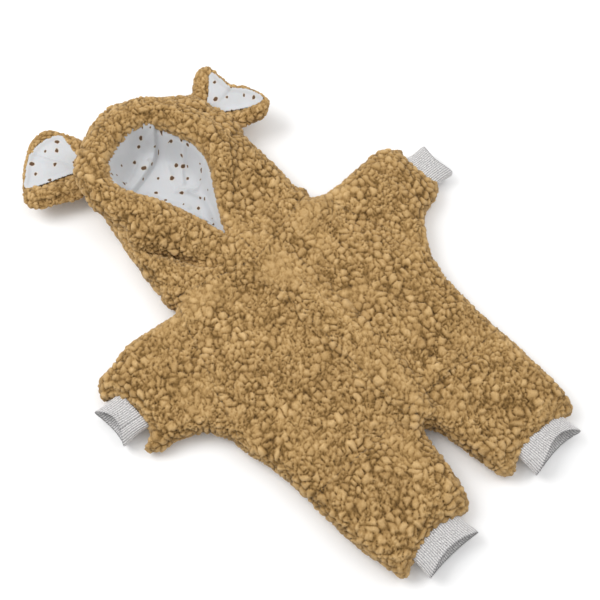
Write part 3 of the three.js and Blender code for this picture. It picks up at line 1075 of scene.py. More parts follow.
@dataclass
class Pile:
    """The curls of the fleece as bumps of its surface.

    Attributes:
        grain: The noise that scatters them.
        curl: Distance between large curls.
        small: Distance between small ones.
        height: Height of a full curl.
        sunk: How far the clefts lie under the form's surface.
    """

    grain: Grain = field(default_factory=lambda: Grain(23))
    curl: float = 9.0 * MM
    small: float = 5.2 * MM
    height: float = 6.0 * MM
    sunk: float = 3.1 * MM

    def relief(self, p: Array, brushed: Array) -> tuple[Array, Array, Array]:
        """Height of the pile at points of the cloth.

        Args:
            p: Points, shape (n, 3).
            brushed: How combed the pile is at each, 0..1.

        Returns:
            The height in metres, the same in 0..1 for colouring with painted shade in the clefts and a painted
            highlight on the tops, and a tone that each curl has.
        """
        g = self.grain
        warp = np.stack([g.smooth(p, 0.011, 20 + k) for k in range(3)], 1) * 3.4 * MM
        warp += np.stack([g.smooth(p, 0.0045, 30 + k) for k in range(3)], 1) * 1.1 * MM
        big, big_owner = self._domes(p + warp, self.curl, 1)
        tight, tight_owner = self._domes(p + warp * 0.8 + 0.5, self.small, 2)
        mingle = smoothstep(-0.25, 0.35, g.smooth(p, 0.016, 44))
        lump = big * (1 - mingle) + (0.45 * big + 0.55 * tight) * mingle
        fine = g.smooth(p, 1.8 * MM, 41) * 0.06 + g.smooth(p, 3.2 * MM, 42) * 0.07
        full = 0.86 * lump + 0.16 * tight + fine
        combed = 0.60 + 0.16 * tight + 0.10 * big + 0.10 * g.smooth(p, 0.007, 43) + fine
        level = full * (1 - 0.8 * brushed) + combed * 0.8 * brushed
        tone = 0.5 + 0.35 * (big_owner - 0.5) + 0.25 * (tight_owner - 0.5) + 0.3 * brushed
        return self.height * level - self.sunk, np.clip(level, 0, 1), np.clip(tone, 0, 1)

    def _domes(self, p: Array, size: float, salt: int) -> tuple[Array, Array]:
        """Round-topped lumps with narrow clefts between them.

        Args:
            p: Points, shape (n, 3).
            size: Distance from lump to lump.
            salt: Which scatter to use.

        Returns:
            Height in 0..1, and a number in 0..1 that belongs to the lump.
        """
        near, second, owner = self.grain.cells(p, size, salt)
        cleft = np.clip((second - near) / 0.52, 0, 1)
        return np.sqrt(cleft * (2 - cleft)) * (0.78 + 0.22 * owner) * (1 - 0.22 * near**2), owner


# ---------------------------------------------------------------- pieces of the suit


@dataclass
class Wardrobe:
    """The finishes, made once, and how a piece is dressed."""

    def __post_init__(self) -> None:
        """Makes every material."""
        self.fleece = PileFinish().material()
        self.jersey = SpottedJersey().material()
        self.jersey_flat = SpottedJersey().material("cloth")
        self.rib = HeatherRib().material()
        self.tape = WovenTape("zip_tape", (0.36, 0.21, 0.085)).material()
        self.satin = WovenTape("satin_label", (0.86, 0.85, 0.82), 0.45, 0.0006).material()
        self.nylon = HardTrim("zip_nylon", (0.33, 0.19, 0.075), 0.4, 0.0).material()
        self.metal = HardTrim("zip_metal", (0.42, 0.40, 0.37), 0.32, 1.0).material()

    def dress_frame(self) -> None:
        """Gives each kept CAD node the finish of its slot."""
        finishes = {Cloth.TAPE: self.tape, Cloth.NYLON: self.nylon, Cloth.METAL: self.metal,
                    Cloth.SATIN: self.satin, Cloth.JERSEY: self.jersey, Cloth.FLEECE: self.fleece,
                    Cloth.RIB: self.rib}
        for part in frame["record"]["subparts"]:
            node = frame["nodes"][part["node"]]
            node.data.materials.clear()
            node.data.materials.append(finishes[Cloth(part["material_slot"])])

    @staticmethod
    def dress(piece: bpy.types.Object, material: bpy.types.Material, cloth: Cloth) -> None:
        """Gives a piece its material.

        Args:
            piece: The piece.
            material: Its material.
            cloth: The slot; not used.
        """
        piece.data.materials.clear()
        piece.data.materials.append(material)


@dataclass(frozen=True)
class Seam:
    """A slanting line in plan where two bodies' cloth meets.

    Attributes:
        lean: How far the line leans: its direction is (lean, 1) or (1, lean), mirrored on the
            other side.
        start: Where the bend starts, along that direction.
        bend: How long the bend is; not used.
        crosswise: Whether the direction runs mostly along X, as at a sleeve.
    """

    lean: float
    start: float
    bend: float
    crosswise: bool

    def direction(self, sign: float) -> Vector:
        """The unit direction that crosses the seam, on the side of the given sign of X."""
        way = Vector((sign, self.lean, 0)) if self.crosswise else Vector((sign * self.lean, 1, 0))
        return way.normalized()

    def reach(self, x: Array, y: Array) -> Array:
        """How far points lie across the seam, above 0 once past it.

        Args:
            x: X of the points.
            y: Y of the points.

        Returns:
            The distances.
        """
        way = self.direction(1)
        return np.abs(x) * way.x + y * way.y - self.start

    def fasten(self, piece: bpy.types.Object, near: str, far: str, sign: float) -> None:
        """Bakes a piece's place into its mesh at the seam.

        Args:
            piece: The piece.
            near: The body before the seam; not used.
            far: The body past it; not used.
            sign: The sign of X on the piece's side; not used.
        """
        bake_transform(piece)


@dataclass(frozen=True)
class Seams:
    """The seams between the torso and the hood and the limbs, where fleece and lining are cut."""

    armhole: Seam = Seam(lean=0.32, start=0.1195, bend=0.070, crosswise=True)
    neck: Seam = Seam(lean=-0.26, start=0.0387, bend=0.066, crosswise=False)
    hip: float = -0.205
    hip_bend: float = 0.062

    def over_neck(self, piece: bpy.types.Object, side: Side) -> None:
        """Bakes a piece's place into its mesh at the neck seam."""
        self.neck.fasten(piece, "torso", "hood", side.value)

    def over_arm(self, piece: bpy.types.Object, side: Side) -> None:
        """Bakes a piece's place into its mesh at the armhole seam."""
        self.armhole.fasten(piece, "torso", f"{side.word}_sleeve", side.value)

    def over_hip(self, piece: bpy.types.Object, side: Side) -> None:
        """Bakes a piece's place into its mesh at the hip."""
        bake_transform(piece)


@dataclass
class FleecePanels:
    """Every outer panel of the suit, cut from the one form at the seams.

    Attributes:
        form: The suit's shape.
        pile: The fleece's curls.
        wardrobe: The finishes.
        seams: Where the panels are cut.
        seam_height: Height of the side seams, between front and back.
        thickness: Depth of a panel below its ground.
        bare_thickness: The same under the hood's lining.
        wrap: Added to a panel's width and length for its way round the side.
        split: X of the seam between the fronts.
        arm_inner: Least distance of a sleeve from the middle.
        arm_low: Lowest Y of a sleeve.
        hood_half: Half of the hood's width.
        hood_seam: X of the seams beside the hood's centre panel.
        centre_start: Y where the centre panel starts.
        crown_start: Y where it comes over to the front.
        crown_height: Its height before that.
        neck_corner: Y below which the corner between neck and sleeve is the sleeve's.
    """

    form: SuitForm
    pile: Pile
    wardrobe: Wardrobe
    seams: Seams
    seam_height: float = 17 * MM
    thickness: float = 3.5 * MM
    bare_thickness: float = 1.0 * MM
    wrap: float = 30 * MM
    split: float = -0.010
    arm_inner: float = 0.1
    hood_half: float = 0.125
    hood_seam: float = 0.030
    centre_start: float = 0.117
    crown_start: float = 0.262
    crown_height: float = 22 * MM
    neck_corner: float = 0.066
    arm_low: float = -0.2

    def build(self) -> list[bpy.types.Object]:
        """Raises the pile, cuts every panel, and dresses and fastens it.

        Returns:
            The panels.
        """
        grid = self.form.grid
        skin = skin_of(self.form.outer, grid)
        _, slope = field_at(self.form.outer, skin.points, grid.low, grid.step)
        brushed = self.form.brushed(skin.points)
        height, self.level, self.tone = self.pile.relief(skin.points, brushed)
        bare = self.form.under_lining(skin.points) & (slope[:, 2] > 0.2)
        height = np.where(bare, 0, height)
        depth = np.where(bare, self.bare_thickness, self.thickness)
        self.outside = skin.points + slope * height[:, None]
        self.outside[:, 2] = np.maximum(self.outside[:, 2], 0.25 * MM * (1 + self.level))
        self.inside = skin.points - slope * depth[:, None]
        self.faces = skin.faces
        middle = skin.points[skin.faces].mean(1)
        made = []
        for name, (mask, node, side) in self._regions(*middle.T).items():
            piece = self._panel(name, self.faces[mask])
            self.wardrobe.dress(piece, self.wardrobe.fleece, Cloth.FLEECE)
            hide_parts(node)
            self._fasten(piece, side)
            ground = skin.points[self.faces[mask]]
            width, length = np.ptp(ground.reshape(-1, 3)[:, :2], axis=0) + self.wrap
            if name.startswith("hood"):
                length *= 2
            log.info("%s: %d faces", name, len(piece.data.polygons))
            made.append(piece)
        return made

    def _fasten(self, piece: bpy.types.Object, side: Side | None) -> None:
        """Lets a panel ride on its body, or bakes its place into its mesh if it crosses a seam.

        Args:
            piece: The panel.
            side: Its side, or None for one that crosses no seam.
        """
        if side is None:
            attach(piece, "hood" if piece.name.startswith("hood") else "torso")
        elif piece.name.startswith("hood"):
            self.seams.over_neck(piece, side)
        elif "sleeve" in piece.name:
            self.seams.over_arm(piece, side)
        else:
            self.seams.over_hip(piece, side)

    @staticmethod
    def _under(name: str) -> list[str]:
        """What a panel lies on: a front on its own back, and the hood on its lining.

        Args:
            name: The panel's name.

        Returns:
            The names of the pieces below it.
        """
        if name.startswith("hood"):
            return ["hood_lining_cloth"]
        if "back" in name:
            return []
        return ["back_fleece"] if name.startswith("front") else [name.replace("front", "back")]

    def _regions(self, x: Array, y: Array, z: Array) -> dict[str, tuple[Array, str, Side | None]]:
        """Which faces each panel takes, the CAD node it stands for, and its side if it crosses a seam.

        Args:
            x: X of the faces' middles.
            y: Y of them.
            z: Z of them.

        Returns:
            The panels by name.
        """
        front = z > self.seam_height
        out = np.abs(x)
        arm = (self.seams.armhole.reach(x, y) > 0) & (y > self.arm_low) & (out > self.arm_inner)
        corner = arm & (y < self.neck_corner)
        hood = (self.seams.neck.reach(x, y) > 0) & (out < self.hood_half) & ~corner
        arm &= ~hood
        leg = y < self.seams.hip
        trunk = ~(arm | hood | leg)
        behind = (z < self.crown_height) | (y > self.crown_start)
        centre = hood & (y > self.centre_start) & (out < self.hood_seam) & behind
        regions = {
            "back_fleece": (trunk & ~front, "back_panel", None),
            "front_left_fleece": (trunk & front & (x > self.split), "front_left_panel", None),
            "front_right_fleece": (trunk & front & (x <= self.split), "front_right_panel", None),
            "hood_centre_fleece": (centre, "hood_centre_panel", None),
        }
        for side in Side:
            word = side.word
            own = x > 0 if side is Side.LEFT else x <= 0
            regions[f"hood_{word}_fleece"] = (hood & ~centre & own, f"hood_{word}_panel", side)
            for half, cut in (("front", front), ("back", ~front)):
                for limb, place in (("sleeve", arm), ("leg", leg)):
                    node = f"{word}_{limb}_{half}"
                    regions[f"{node}_fleece"] = (place & own & cut, node, side)
        return regions

    def _panel(self, name: str, faces: Array) -> bpy.types.Object:
        """A closed panel from its faces: the pile outside, the knitted ground inside and walls between.

        Args:
            name: The piece's name.
            faces: The faces of the pile side.

        Returns:
            The piece.
        """
        count = len(self.outside)
        edges = np.concatenate([faces[:, [k, (k + 1) % 4]] for k in range(4)])
        key = edges.min(1).astype(np.int64) * count + edges.max(1)
        _, first, times = np.unique(key, return_index=True, return_counts=True)
        rim = edges[first[times == 1]]
        walls = np.stack([rim[:, 1], rim[:, 0], rim[:, 0] + count, rim[:, 1] + count], 1)
        every = np.concatenate([faces, faces[:, ::-1] + count, walls])
        points = np.concatenate([self.outside, self.inside])
        low = np.full(count, 0.3)
        attributes = {"pile": np.concatenate([self.level, low]), "tone": np.concatenate([self.tone, low])}
        return mesh_object(name, points, every, attributes)


def frame_joint(name: str) -> dict:
    """One joint of the frame, by name."""
    return next(j for j in frame["joints"] if j["name"] == name)


@dataclass(frozen=True)
class CuffLie:
    """How a cuff lies on the floor.

    Attributes:
        gape: How far its mouth stands open, as a share of its height.
        retreat: How far the middle of its mouth is drawn back from the ends.
        skew: How much more one end is drawn back than the other.
        fold: Where a crease runs along it, as a share of its half width, or 0 for none.
    """

    gape: float
    retreat: float
    skew: float = 0.0
    fold: float = 0.0


@dataclass
class RibCuff:
    """A flattened tube of rib knit, turned in on itself at its mouth."""

    name: str
    node: str
    body: str
    start: Vector
    end: Vector
    across: Vector
    half_width: float
    half_height: float
    ribs: int
    lie: CuffLie
    wall: float = 1.8 * MM
    rib_depth: float = 0.75 * MM
    squareness: float = 0.78
    points_per_rib: int = 8
    rows: int = 26

    def build(self, wardrobe: Wardrobe) -> bpy.types.Object:
        """Builds, dresses and fastens the cuff.

        Args:
            wardrobe: The finishes.

        Returns:
            The piece.
        """
        rows, power = self.rows, self.squareness
        count = self.ribs * self.points_per_rib
        turn = self._even_turns(count)
        wave = 0.5 + 0.5 * np.cos(np.arange(count) / self.points_per_rib * 2 * np.pi)
        grain = Grain(len(self.name))
        along = (self.end - self.start).normalized()
        up = along.cross(self.across)
        length = (self.end - self.start).length
        points, ribs, cloth = [], [], []
        mouth = rows // 2
        for i in range(rows + 1):
            outer = i <= mouth
            t = i / mouth if outer else (rows - i) / (rows - mouth)
            inset = 0.0 if outer else self.wall
            from_mouth = (1 - t) * length / (self.wall * 0.8)
            turn_in = math.sqrt(max(0.0, 1 - from_mouth**2)) if t > 0.9 else 0
            inset += self.wall * 0.5 * turn_in * (1 if outer else -1)
            spread = 1 - 0.06 * math.sin(math.pi * t)
            c, s = np.cos(turn), np.sin(turn)
            u = np.sign(c) * np.abs(c) ** power * (self.half_width * spread - inset)
            v = np.sign(s) * np.abs(s) ** power * (self.half_height * (1 + self.lie.gape * t * t) - inset)
            base = np.stack([np.cos(turn) * 0.02, np.sin(turn) * 0.02, np.full(count, t * 0.03)], 1)
            soft = grain.smooth(base + 3.0, 0.012, 5) * 1.3 * MM * t
            out = self.rib_depth * (wave - 1) * (1 if outer else -1) + soft
            radial = np.stack([c * self.half_height, s * self.half_width], 1)
            radial /= np.linalg.norm(radial, axis=1)[:, None]
            u = u + radial[:, 0] * out
            v = v + radial[:, 1] * out
            if self.lie.fold:
                near = (u / self.half_width - self.lie.fold) / 0.09
                v = v - 3.0 * MM * np.exp(-(near**2)) * (s > 0) * (0.5 + 0.5 * t)
            drawn = self.lie.retreat * (1 + self.lie.skew * u / self.half_width)
            drawn = drawn * (1 - (u / self.half_width) ** 2)
            reach = length * t - drawn * np.where(s > 0, 0.55 + 0.45 * s, 0.55 + 0.2 * s) * t**2
            points.append(
                np.array(self.start)[None]
                + reach[:, None] * np.array(along)[None]
                + u[:, None] * np.array(self.across)[None]
                + v[:, None] * np.array(up)[None]
            )
            ribs.append(wave)
            along_cloth = np.full(count, (t if outer else 2 - t) * length)
            cloth.append(np.stack([turn * self.half_width, along_cloth, np.zeros(count)], 1))
        pts = np.concatenate(points)
        pts[:, 2] = np.maximum(pts[:, 2], 0.6 * MM)
        attributes = {"rib": np.concatenate(ribs), "cloth": np.concatenate(cloth)}
        piece = mesh_object(self.name, pts, ring_faces(count, rows + 1), attributes)
        wardrobe.dress(piece, wardrobe.rib, Cloth.RIB)
        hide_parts(self.node)
        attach(piece, self.body)
        log.info("%s: %d faces", self.name, len(piece.data.polygons))
        return piece

    def _even_turns(self, count: int) -> Array:
        """Angles round the oval at even distances along it, so that all ribs are as wide.

        Args:
            count: How many.

        Returns:
            The angles.
        """
        turn = np.linspace(0, 2 * np.pi, 4001)
        c, s = np.cos(turn), np.sin(turn)
        u = np.sign(c) * np.abs(c) ** self.squareness * self.half_width
        v = np.sign(s) * np.abs(s) ** self.squareness * self.half_height
        run = np.concatenate([[0], np.cumsum(np.hypot(np.diff(u), np.diff(v)))])
        return np.interp(np.arange(count) / count * run[-1], run, turn)


def ring_faces(count: int, rows: int) -> Array:
    """Faces between rings of points, the last ring joined to the first.

    Args:
        count: Points in a ring.
        rows: Number of rings.

    Returns:
        The faces, shape (m, 4).
    """
    here = np.arange(count)
    ahead = (here + 1) % count
    faces = []
    for i in range(rows):
        ring, following = i * count, (i + 1) % rows * count
        faces.append(np.stack([ring + here, ring + ahead, following + ahead, following + here], 1))
    return np.concatenate(faces)


@dataclass
class Cuffs:
    """The four rib-knit cuffs, each where its CAD cuff is.

    Attributes:
        wardrobe: The finishes.
        sleeve_run: Length of a sleeve's cuff.
        sleeve_half_height: Half of its height as it lies.
        sleeve_ribs: Ribs round it.
        leg_run: Length of a leg's cuff.
        leg_half_height: Half of its height as it lies.
        leg_ribs: Ribs round it.
        root_height: Height of a cuff's middle where it's sewn on.
        mouth_height: The same at its mouth.
        sleeve_lies: How each sleeve's cuff lies.
        leg_lies: How each leg's cuff lies.
        leg_shifts: How far each leg's cuff lies towards the wearer's left.
    """

    wardrobe: Wardrobe
    sleeve_run: float = 36 * MM
    sleeve_half_height: float = 9.5 * MM
    sleeve_ribs: int = 44
    leg_run: float = 40 * MM
    leg_half_height: float = 8.5 * MM
    leg_ribs: int = 60
    root_height: float = 17.5 * MM
    mouth_height: float = 16 * MM
    sleeve_lies = {Side.LEFT: CuffLie(0.3, 6 * MM), Side.RIGHT: CuffLie(0.6, 12 * MM, fold=0.5)}
    leg_lies = {Side.LEFT: CuffLie(0.85, 13 * MM, skew=0.7), Side.RIGHT: CuffLie(0.45, 9 * MM)}
    leg_shifts = {Side.LEFT: 7 * MM, Side.RIGHT: 5 * MM}

    def build(self) -> list[bpy.types.Object]:
        """Builds every cuff.

        Returns:
            The four pieces.
        """
        made = []
        for side in Side:
            made += [self._sleeve(side).build(self.wardrobe), self._leg(side).build(self.wardrobe)]
        return made

    def _sleeve(self, side: Side) -> RibCuff:
        """The cuff at the end of a sleeve.

        Args:
            side: The sleeve's side.

        Returns:
            The cuff, not yet built.
        """
        s, word = side.value, side.word
        low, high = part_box(f"{word}_sleeve_cuff")
        reach = max(abs(low.x), abs(high.x))
        middle = (low.y + high.y) / 2
        start = Vector((s * (reach - self.sleeve_run), middle, self.root_height + 0.5 * MM))
        end = Vector((s * reach, middle - 2 * MM * s, self.mouth_height + 0.5 * MM))
        return RibCuff(f"{word}_sleeve_rib", f"{word}_sleeve_cuff", f"{word}_sleeve", start, end,
                       Vector((0, s, 0)), (high.y - low.y) / 2 - 0.5 * MM, self.sleeve_half_height,
                       self.sleeve_ribs, self.sleeve_lies[side])

    def _leg(self, side: Side) -> RibCuff:
        """The cuff at the hem of a leg.

        Args:
            side: The leg's side.

        Returns:
            The cuff, not yet built.
        """
        word = side.word
        low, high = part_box(f"{word}_leg_cuff")
        centre = (low.x + high.x) / 2 + self.leg_shifts[side]
        start = Vector((centre, low.y + self.leg_run, self.root_height - 0.5 * MM))
        end = Vector((centre + 1 * MM, low.y, self.mouth_height - 0.5 * MM))
        return RibCuff(f"{word}_leg_rib", f"{word}_leg_cuff", f"{word}_leg", start, end,
                       Vector((1, 0, 0)), (high.x - low.x) / 2 - 1 * MM, self.leg_half_height,
                       self.leg_ribs, self.leg_lies[side])


@dataclass
class Ear:
    """One ear of the hood: a padded fleece back whose edges roll round a spotted facing.

    The ear is worked out lying along its own X, with its root at 0, and then laid in place.

    Attributes:
        side: The wearer's side.
        heading: Which way it points from its root, in degrees from X.
        lift: How far its tip is lifted, in degrees.
        outline: The edge of the fleece back.
        facing: The edge of the spotted facing.
        cup: How far its sides curl up at the tip.
        base: Thickness of the padded back.
        roll: Largest radius of the rolled edge.
        rim: Smallest width of the rolled edge.
    """

    side: Side
    heading: float
    lift: float
    outline: Curve2D
    facing: Curve2D
    form: SuitForm
    pile: Pile
    wardrobe: Wardrobe
    cup: float = 4 * MM
    base: float = 5 * MM
    roll: float = 7.0 * MM
    rim: float = 2.0 * MM

    def __post_init__(self) -> None:
        """Finds where the ear is rooted, and how long and wide it is."""
        self.root = Vector(frame_joint(f"{self.side.word}_ear_flop")["pos_m"])
        line = self.outline.line()
        self.length = float(line[:, 0].max())
        self.half = float(np.abs(line[:, 1]).max())

    def _place(self, local: Array) -> Array:
        """Lays points of the flat ear in their place on the hood.

        Args:
            local: Points, shape (n, 3): along the ear, across it and up from it.

        Returns:
            The points in the suit's frame.
        """
        u, v, w = local[:, 0], local[:, 1], local[:, 2]
        reach = np.clip(u / self.length, 0, 1.1)
        curl = self.cup * reach * (v / self.half) ** 2
        slope = 2 * self.cup * reach * v / self.half**2
        scale = np.sqrt(1 + slope**2)
        w2 = w / scale + curl
        v2 = v - w * slope / scale
        lift, turn = math.radians(self.lift), math.radians(self.heading)
        along = u * math.cos(lift) - w2 * math.sin(lift)
        up = u * math.sin(lift) + w2 * math.cos(lift)
        x = self.root.x + along * math.cos(turn) - v2 * math.sin(turn)
        y = self.root.y + along * math.sin(turn) + v2 * math.cos(turn)
        z = self.root.z + up - 4 * MM
        return np.stack([x, y, z], 1)

    def build(self) -> list[bpy.types.Object]:
        """Builds, dresses and fastens the fleece back and the facing."""
        return [self._fleece(), self._facing()]

    def _fleece(self) -> bpy.types.Object:
        """The fleece back with its rolled edges.

        Returns:
            The piece.
        """
        step = self.form.step * 0.8
        reach = self.half + 12 * MM
        grid = Grid((-0.026, -reach, -0.018), (self.length + 0.012, reach, 0.024), step)
        u, v = grid.plan()
        w = grid.space()[2]
        edge = self.outline.distance(u, v)
        inner = self.facing.distance(u, v)
        thin = edge[:, :, None] + self.base * 0.5
        slab = np.sqrt(np.maximum(thin, 0) ** 2 + w**2) - self.base * 0.5
        slab = np.maximum(slab, np.abs(w) - self.base * 0.5)
        wide = np.clip((inner - edge) / 2, self.rim * 0.6, self.roll * 1.25)
        height = np.minimum(wide, self.roll)
        out = np.abs(edge + inner)[:, :, None] / 2
        ratio = (height / wide)[:, :, None]
        lift = 2.0 * MM
        roll = np.sqrt((out * ratio) ** 2 + (w - lift) ** 2) - height[:, :, None]
        solid = soft_union(slab, roll, 3 * MM).astype(np.float32)
        skin = skin_of(solid, grid)
        p = skin.points
        _, slope = field_at(solid, p, grid.low, step)
        world_seed = p + np.array([self.side.value * 0.4, 0.3, 0.2])
        brushed = 0.25 + 0.3 * smoothstep(self.length * 0.8, self.length, p[:, 0])
        height_now, level, tone = self.pile.relief(world_seed, brushed)
        under_facing = smoothstep(1.5 * MM, -1.0 * MM, self.facing.distance(p[:, 0], p[:, 1]))
        under_facing *= smoothstep(0, 0.5, slope[:, 2])
        weight = 1 - under_facing
        moved = p + slope * (height_now * 0.85 * weight)[:, None]
        placed = self._place(moved)
        placed[:, 2] = np.maximum(placed[:, 2], 0.4 * MM * (1 + level))
        attributes = {"pile": level * weight + 0.35 * (1 - weight), "tone": tone}
        piece = mesh_object(f"{self.side.word}_ear_fleece", placed, skin.faces, attributes)
        self.wardrobe.dress(piece, self.wardrobe.fleece, Cloth.FLEECE)
        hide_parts(f"{self.side.word}_ear_back")
        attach(piece, f"{self.side.word}_ear")
        log.info("%s: %d faces", piece.name, len(piece.data.polygons))
        return piece

    def _facing(self) -> bpy.types.Object:
        """The spotted facing, with the crease along its middle.

        Returns:
            The piece.
        """
        step = 1.2 * MM
        us = np.arange(-8 * MM, self.length + step, step)
        vs = np.arange(-self.half, self.half + step, step)
        u, v = np.meshgrid(us, vs, indexing="ij")
        inside = self.facing.distance(u, v)
        grain = Grain(31 + self.side.value)
        flat = np.stack([u.ravel(), v.ravel(), np.zeros(u.size)], 1)
        soft = grain.smooth(flat, 0.022, 1) * 1.1 + grain.smooth(flat, 0.009, 2) * 0.35
        soft = soft.reshape(u.shape) * MM
        bend = v - 0.12 * u * self.side.value - 2 * MM
        crease = 1.3 * MM * np.exp(-((bend / (1.8 * MM)) ** 2)) * smoothstep(0, self.length * 0.5, u)
        ridge = 2.0 * MM * np.exp(-(((bend - 5 * MM) / (4 * MM)) ** 2))
        ridge = ridge * smoothstep(0, self.length * 0.6, u)
        w = self.base * 0.5 + 1.9 * MM + soft * 0.7 - crease + ridge
        w = w + 1.6 * MM * smoothstep(-5 * MM, 0.0, inside)
        faces = plan_faces(inside < 2.2 * MM)
        local = np.stack([u, v, w], -1).reshape(-1, 3)
        cloth = flat + np.array([0.1 * self.side.value, 0, 0])
        name = f"{self.side.word}_ear_spotted_facing"
        piece = mesh_object(name, self._place(local), faces, {"cloth": cloth})
        thicken(piece, 0.8 * MM)
        self.wardrobe.dress(piece, self.wardrobe.jersey_flat, Cloth.JERSEY)
        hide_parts(f"{self.side.word}_ear_facing")
        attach(piece, f"{self.side.word}_ear")
        return piece


@dataclass
class Ears:
    """Both ears: the right one lies out to the side, the left one stands up from the crown."""

    form: SuitForm
    pile: Pile
    wardrobe: Wardrobe
    right_back = Curve2D(
        (
            (-14, -12), (4, -31), (34, -39), (52, -37), (64, -18), (65, 10), (60, 40), (51, 62),
            (38, 66), (13, 54), (-12, 40), (-20, 14),
        )
    )
    right_facing = Curve2D(
        ((-4, 4), (14, -18), (32, -33), (51, -20), (60, 2), (58, 30), (53, 43), (20, 22))
    )
    left_back = Curve2D(
        (
            (-20, 4), (-12, 33), (3, 50), (17, 56), (30, 51), (33, 28), (37, 10), (50, -8), (56, -30),
            (54, -42), (38, -49), (9, -38), (-12, -26),
        )
    )
    left_facing = Curve2D(
        ((-8, 4), (10, 22), (27, 40), (31, 24), (33, 8), (47, -12), (53, -33), (39, -31), (13, -12))
    )

    def build(self) -> list[bpy.types.Object]:
        """Builds both ears.

        Returns:
            Their pieces.
        """
        shared = (self.form, self.pile, self.wardrobe)
        right = Ear(Side.RIGHT, 130, 4, self.right_back, self.right_facing, *shared)
        left = Ear(Side.LEFT, -4, 20, self.left_back, self.left_facing, *shared)
        return right.build() + left.build()


def thicken(piece: bpy.types.Object, thickness: float) -> None:
    """Gives a sheet its thickness, downwards from its face.

    Args:
        piece: The sheet.
        thickness: How thick the cloth is.
    """
    solid = piece.modifiers.new("thickness", "SOLIDIFY")
    solid.thickness = thickness
    solid.offset = -1
    apply_modifiers(piece)


@dataclass
class InnerLining:
    """The jersey lining of body, sleeves and legs, one thin bag inside the fleece.

    Attributes:
        form: The suit's shape.
        wardrobe: The finishes.
        seams: Where the pieces are cut.
        clearance: Gap between fleece and lining.
        thickness: The jersey's thickness.
        shoulder: Highest Y of the sleeves' lining.
        collar: Highest Y of the body's lining.
        arm_low: Lowest Y of a sleeve.
        overlap: How far the lining runs on past the inner end of a cuff.
    """

    form: SuitForm
    wardrobe: Wardrobe
    seams: Seams
    clearance: float = 1.4 * MM
    thickness: float = 0.8 * MM
    shoulder: float = 0.065
    collar: float = 0.0565
    arm_low: float = -0.2
    overlap: float = 4 * MM

    def build(self) -> list[bpy.types.Object]:
        """Builds, dresses and fastens the lining's pieces.

        Returns:
            The pieces.
        """
        depth = self.form.thickness + self.clearance
        volume = self.form.cavity[::2, ::2, ::2] + depth
        grid = Grid(self.form.grid.low, self.form.grid.high, self.form.step * 2)
        skin = skin_of(volume, grid)
        regions = self._regions(*skin.points[skin.faces].mean(1).T)
        return [self._piece(name, skin, *region) for name, region in regions.items()]

    def _regions(self, x: Array, y: Array, z: Array) -> dict[str, tuple[Array, str, str, Side]]:
        """Which faces each piece takes, the CAD node it stands for, its limb or nothing, and its side.

        Args:
            x: X of the faces' middles.
            y: Y of them.
            z: Z of them.

        Returns:
            The pieces by name.
        """
        hip = self.seams.hip
        arm = (self.seams.armhole.reach(x, y) > 0) & (y < self.shoulder) & (y > self.arm_low)
        trunk = ~arm & (y > hip) & (y < self.collar)
        front = z > self.form.half_height
        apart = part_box("zip_tape_left")[1].x
        left, right = trunk & front & (x > apart), trunk & front & (x < -apart)
        regions = {
            "back_body_lining": (trunk & ~front, "back_lining", "", Side.LEFT),
            "front_left_body_lining": (left, "front_left_lining", "", Side.LEFT),
            "front_right_body_lining": (right, "front_right_lining", "", Side.RIGHT),
        }
        for side in Side:
            own = side.value * x > 0
            cuff = min(abs(v.x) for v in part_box(f"{side.word}_sleeve_cuff")) + self.overlap
            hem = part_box(f"{side.word}_leg_cuff")[1].y - self.overlap
            places = {"sleeve": own & arm & (np.abs(x) < cuff), "leg": own & (y <= hip) & (y > hem)}
            for limb, place in places.items():
                node = f"{side.word}_{limb}_lining"
                regions[f"{node}_cloth"] = (place, node, limb, side)
        return regions

    def _piece(self, name: str, skin: Skin, mask: Array, node: str, limb: str,
               side: Side) -> bpy.types.Object:
        """One piece of the lining, dressed and fastened.

        Args:
            name: The piece's name.
            skin: The whole lining's surface.
            mask: The faces that the piece takes.
            node: The CAD node it stands for.
            limb: Its limb, or nothing on the trunk.
            side: Its side.

        Returns:
            The piece.
        """
        piece = mesh_object(name, skin.points, skin.faces[mask])
        thicken(piece, self.thickness)
        self.wardrobe.dress(piece, self.wardrobe.jersey, Cloth.JERSEY)
        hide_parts(node)
        low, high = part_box(node)
        across, along = high.x - low.x + 0.02, high.y - low.y + 0.02
        if limb:
            across, along = across * 2, along + 0.03
        if limb == "sleeve":
            self.seams.over_arm(piece, side)
        elif limb == "leg":
            self.seams.over_hip(piece, side)
        else:
            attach(piece, "torso")
        log.info("%s: %d faces", name, len(piece.data.polygons))
        return piece


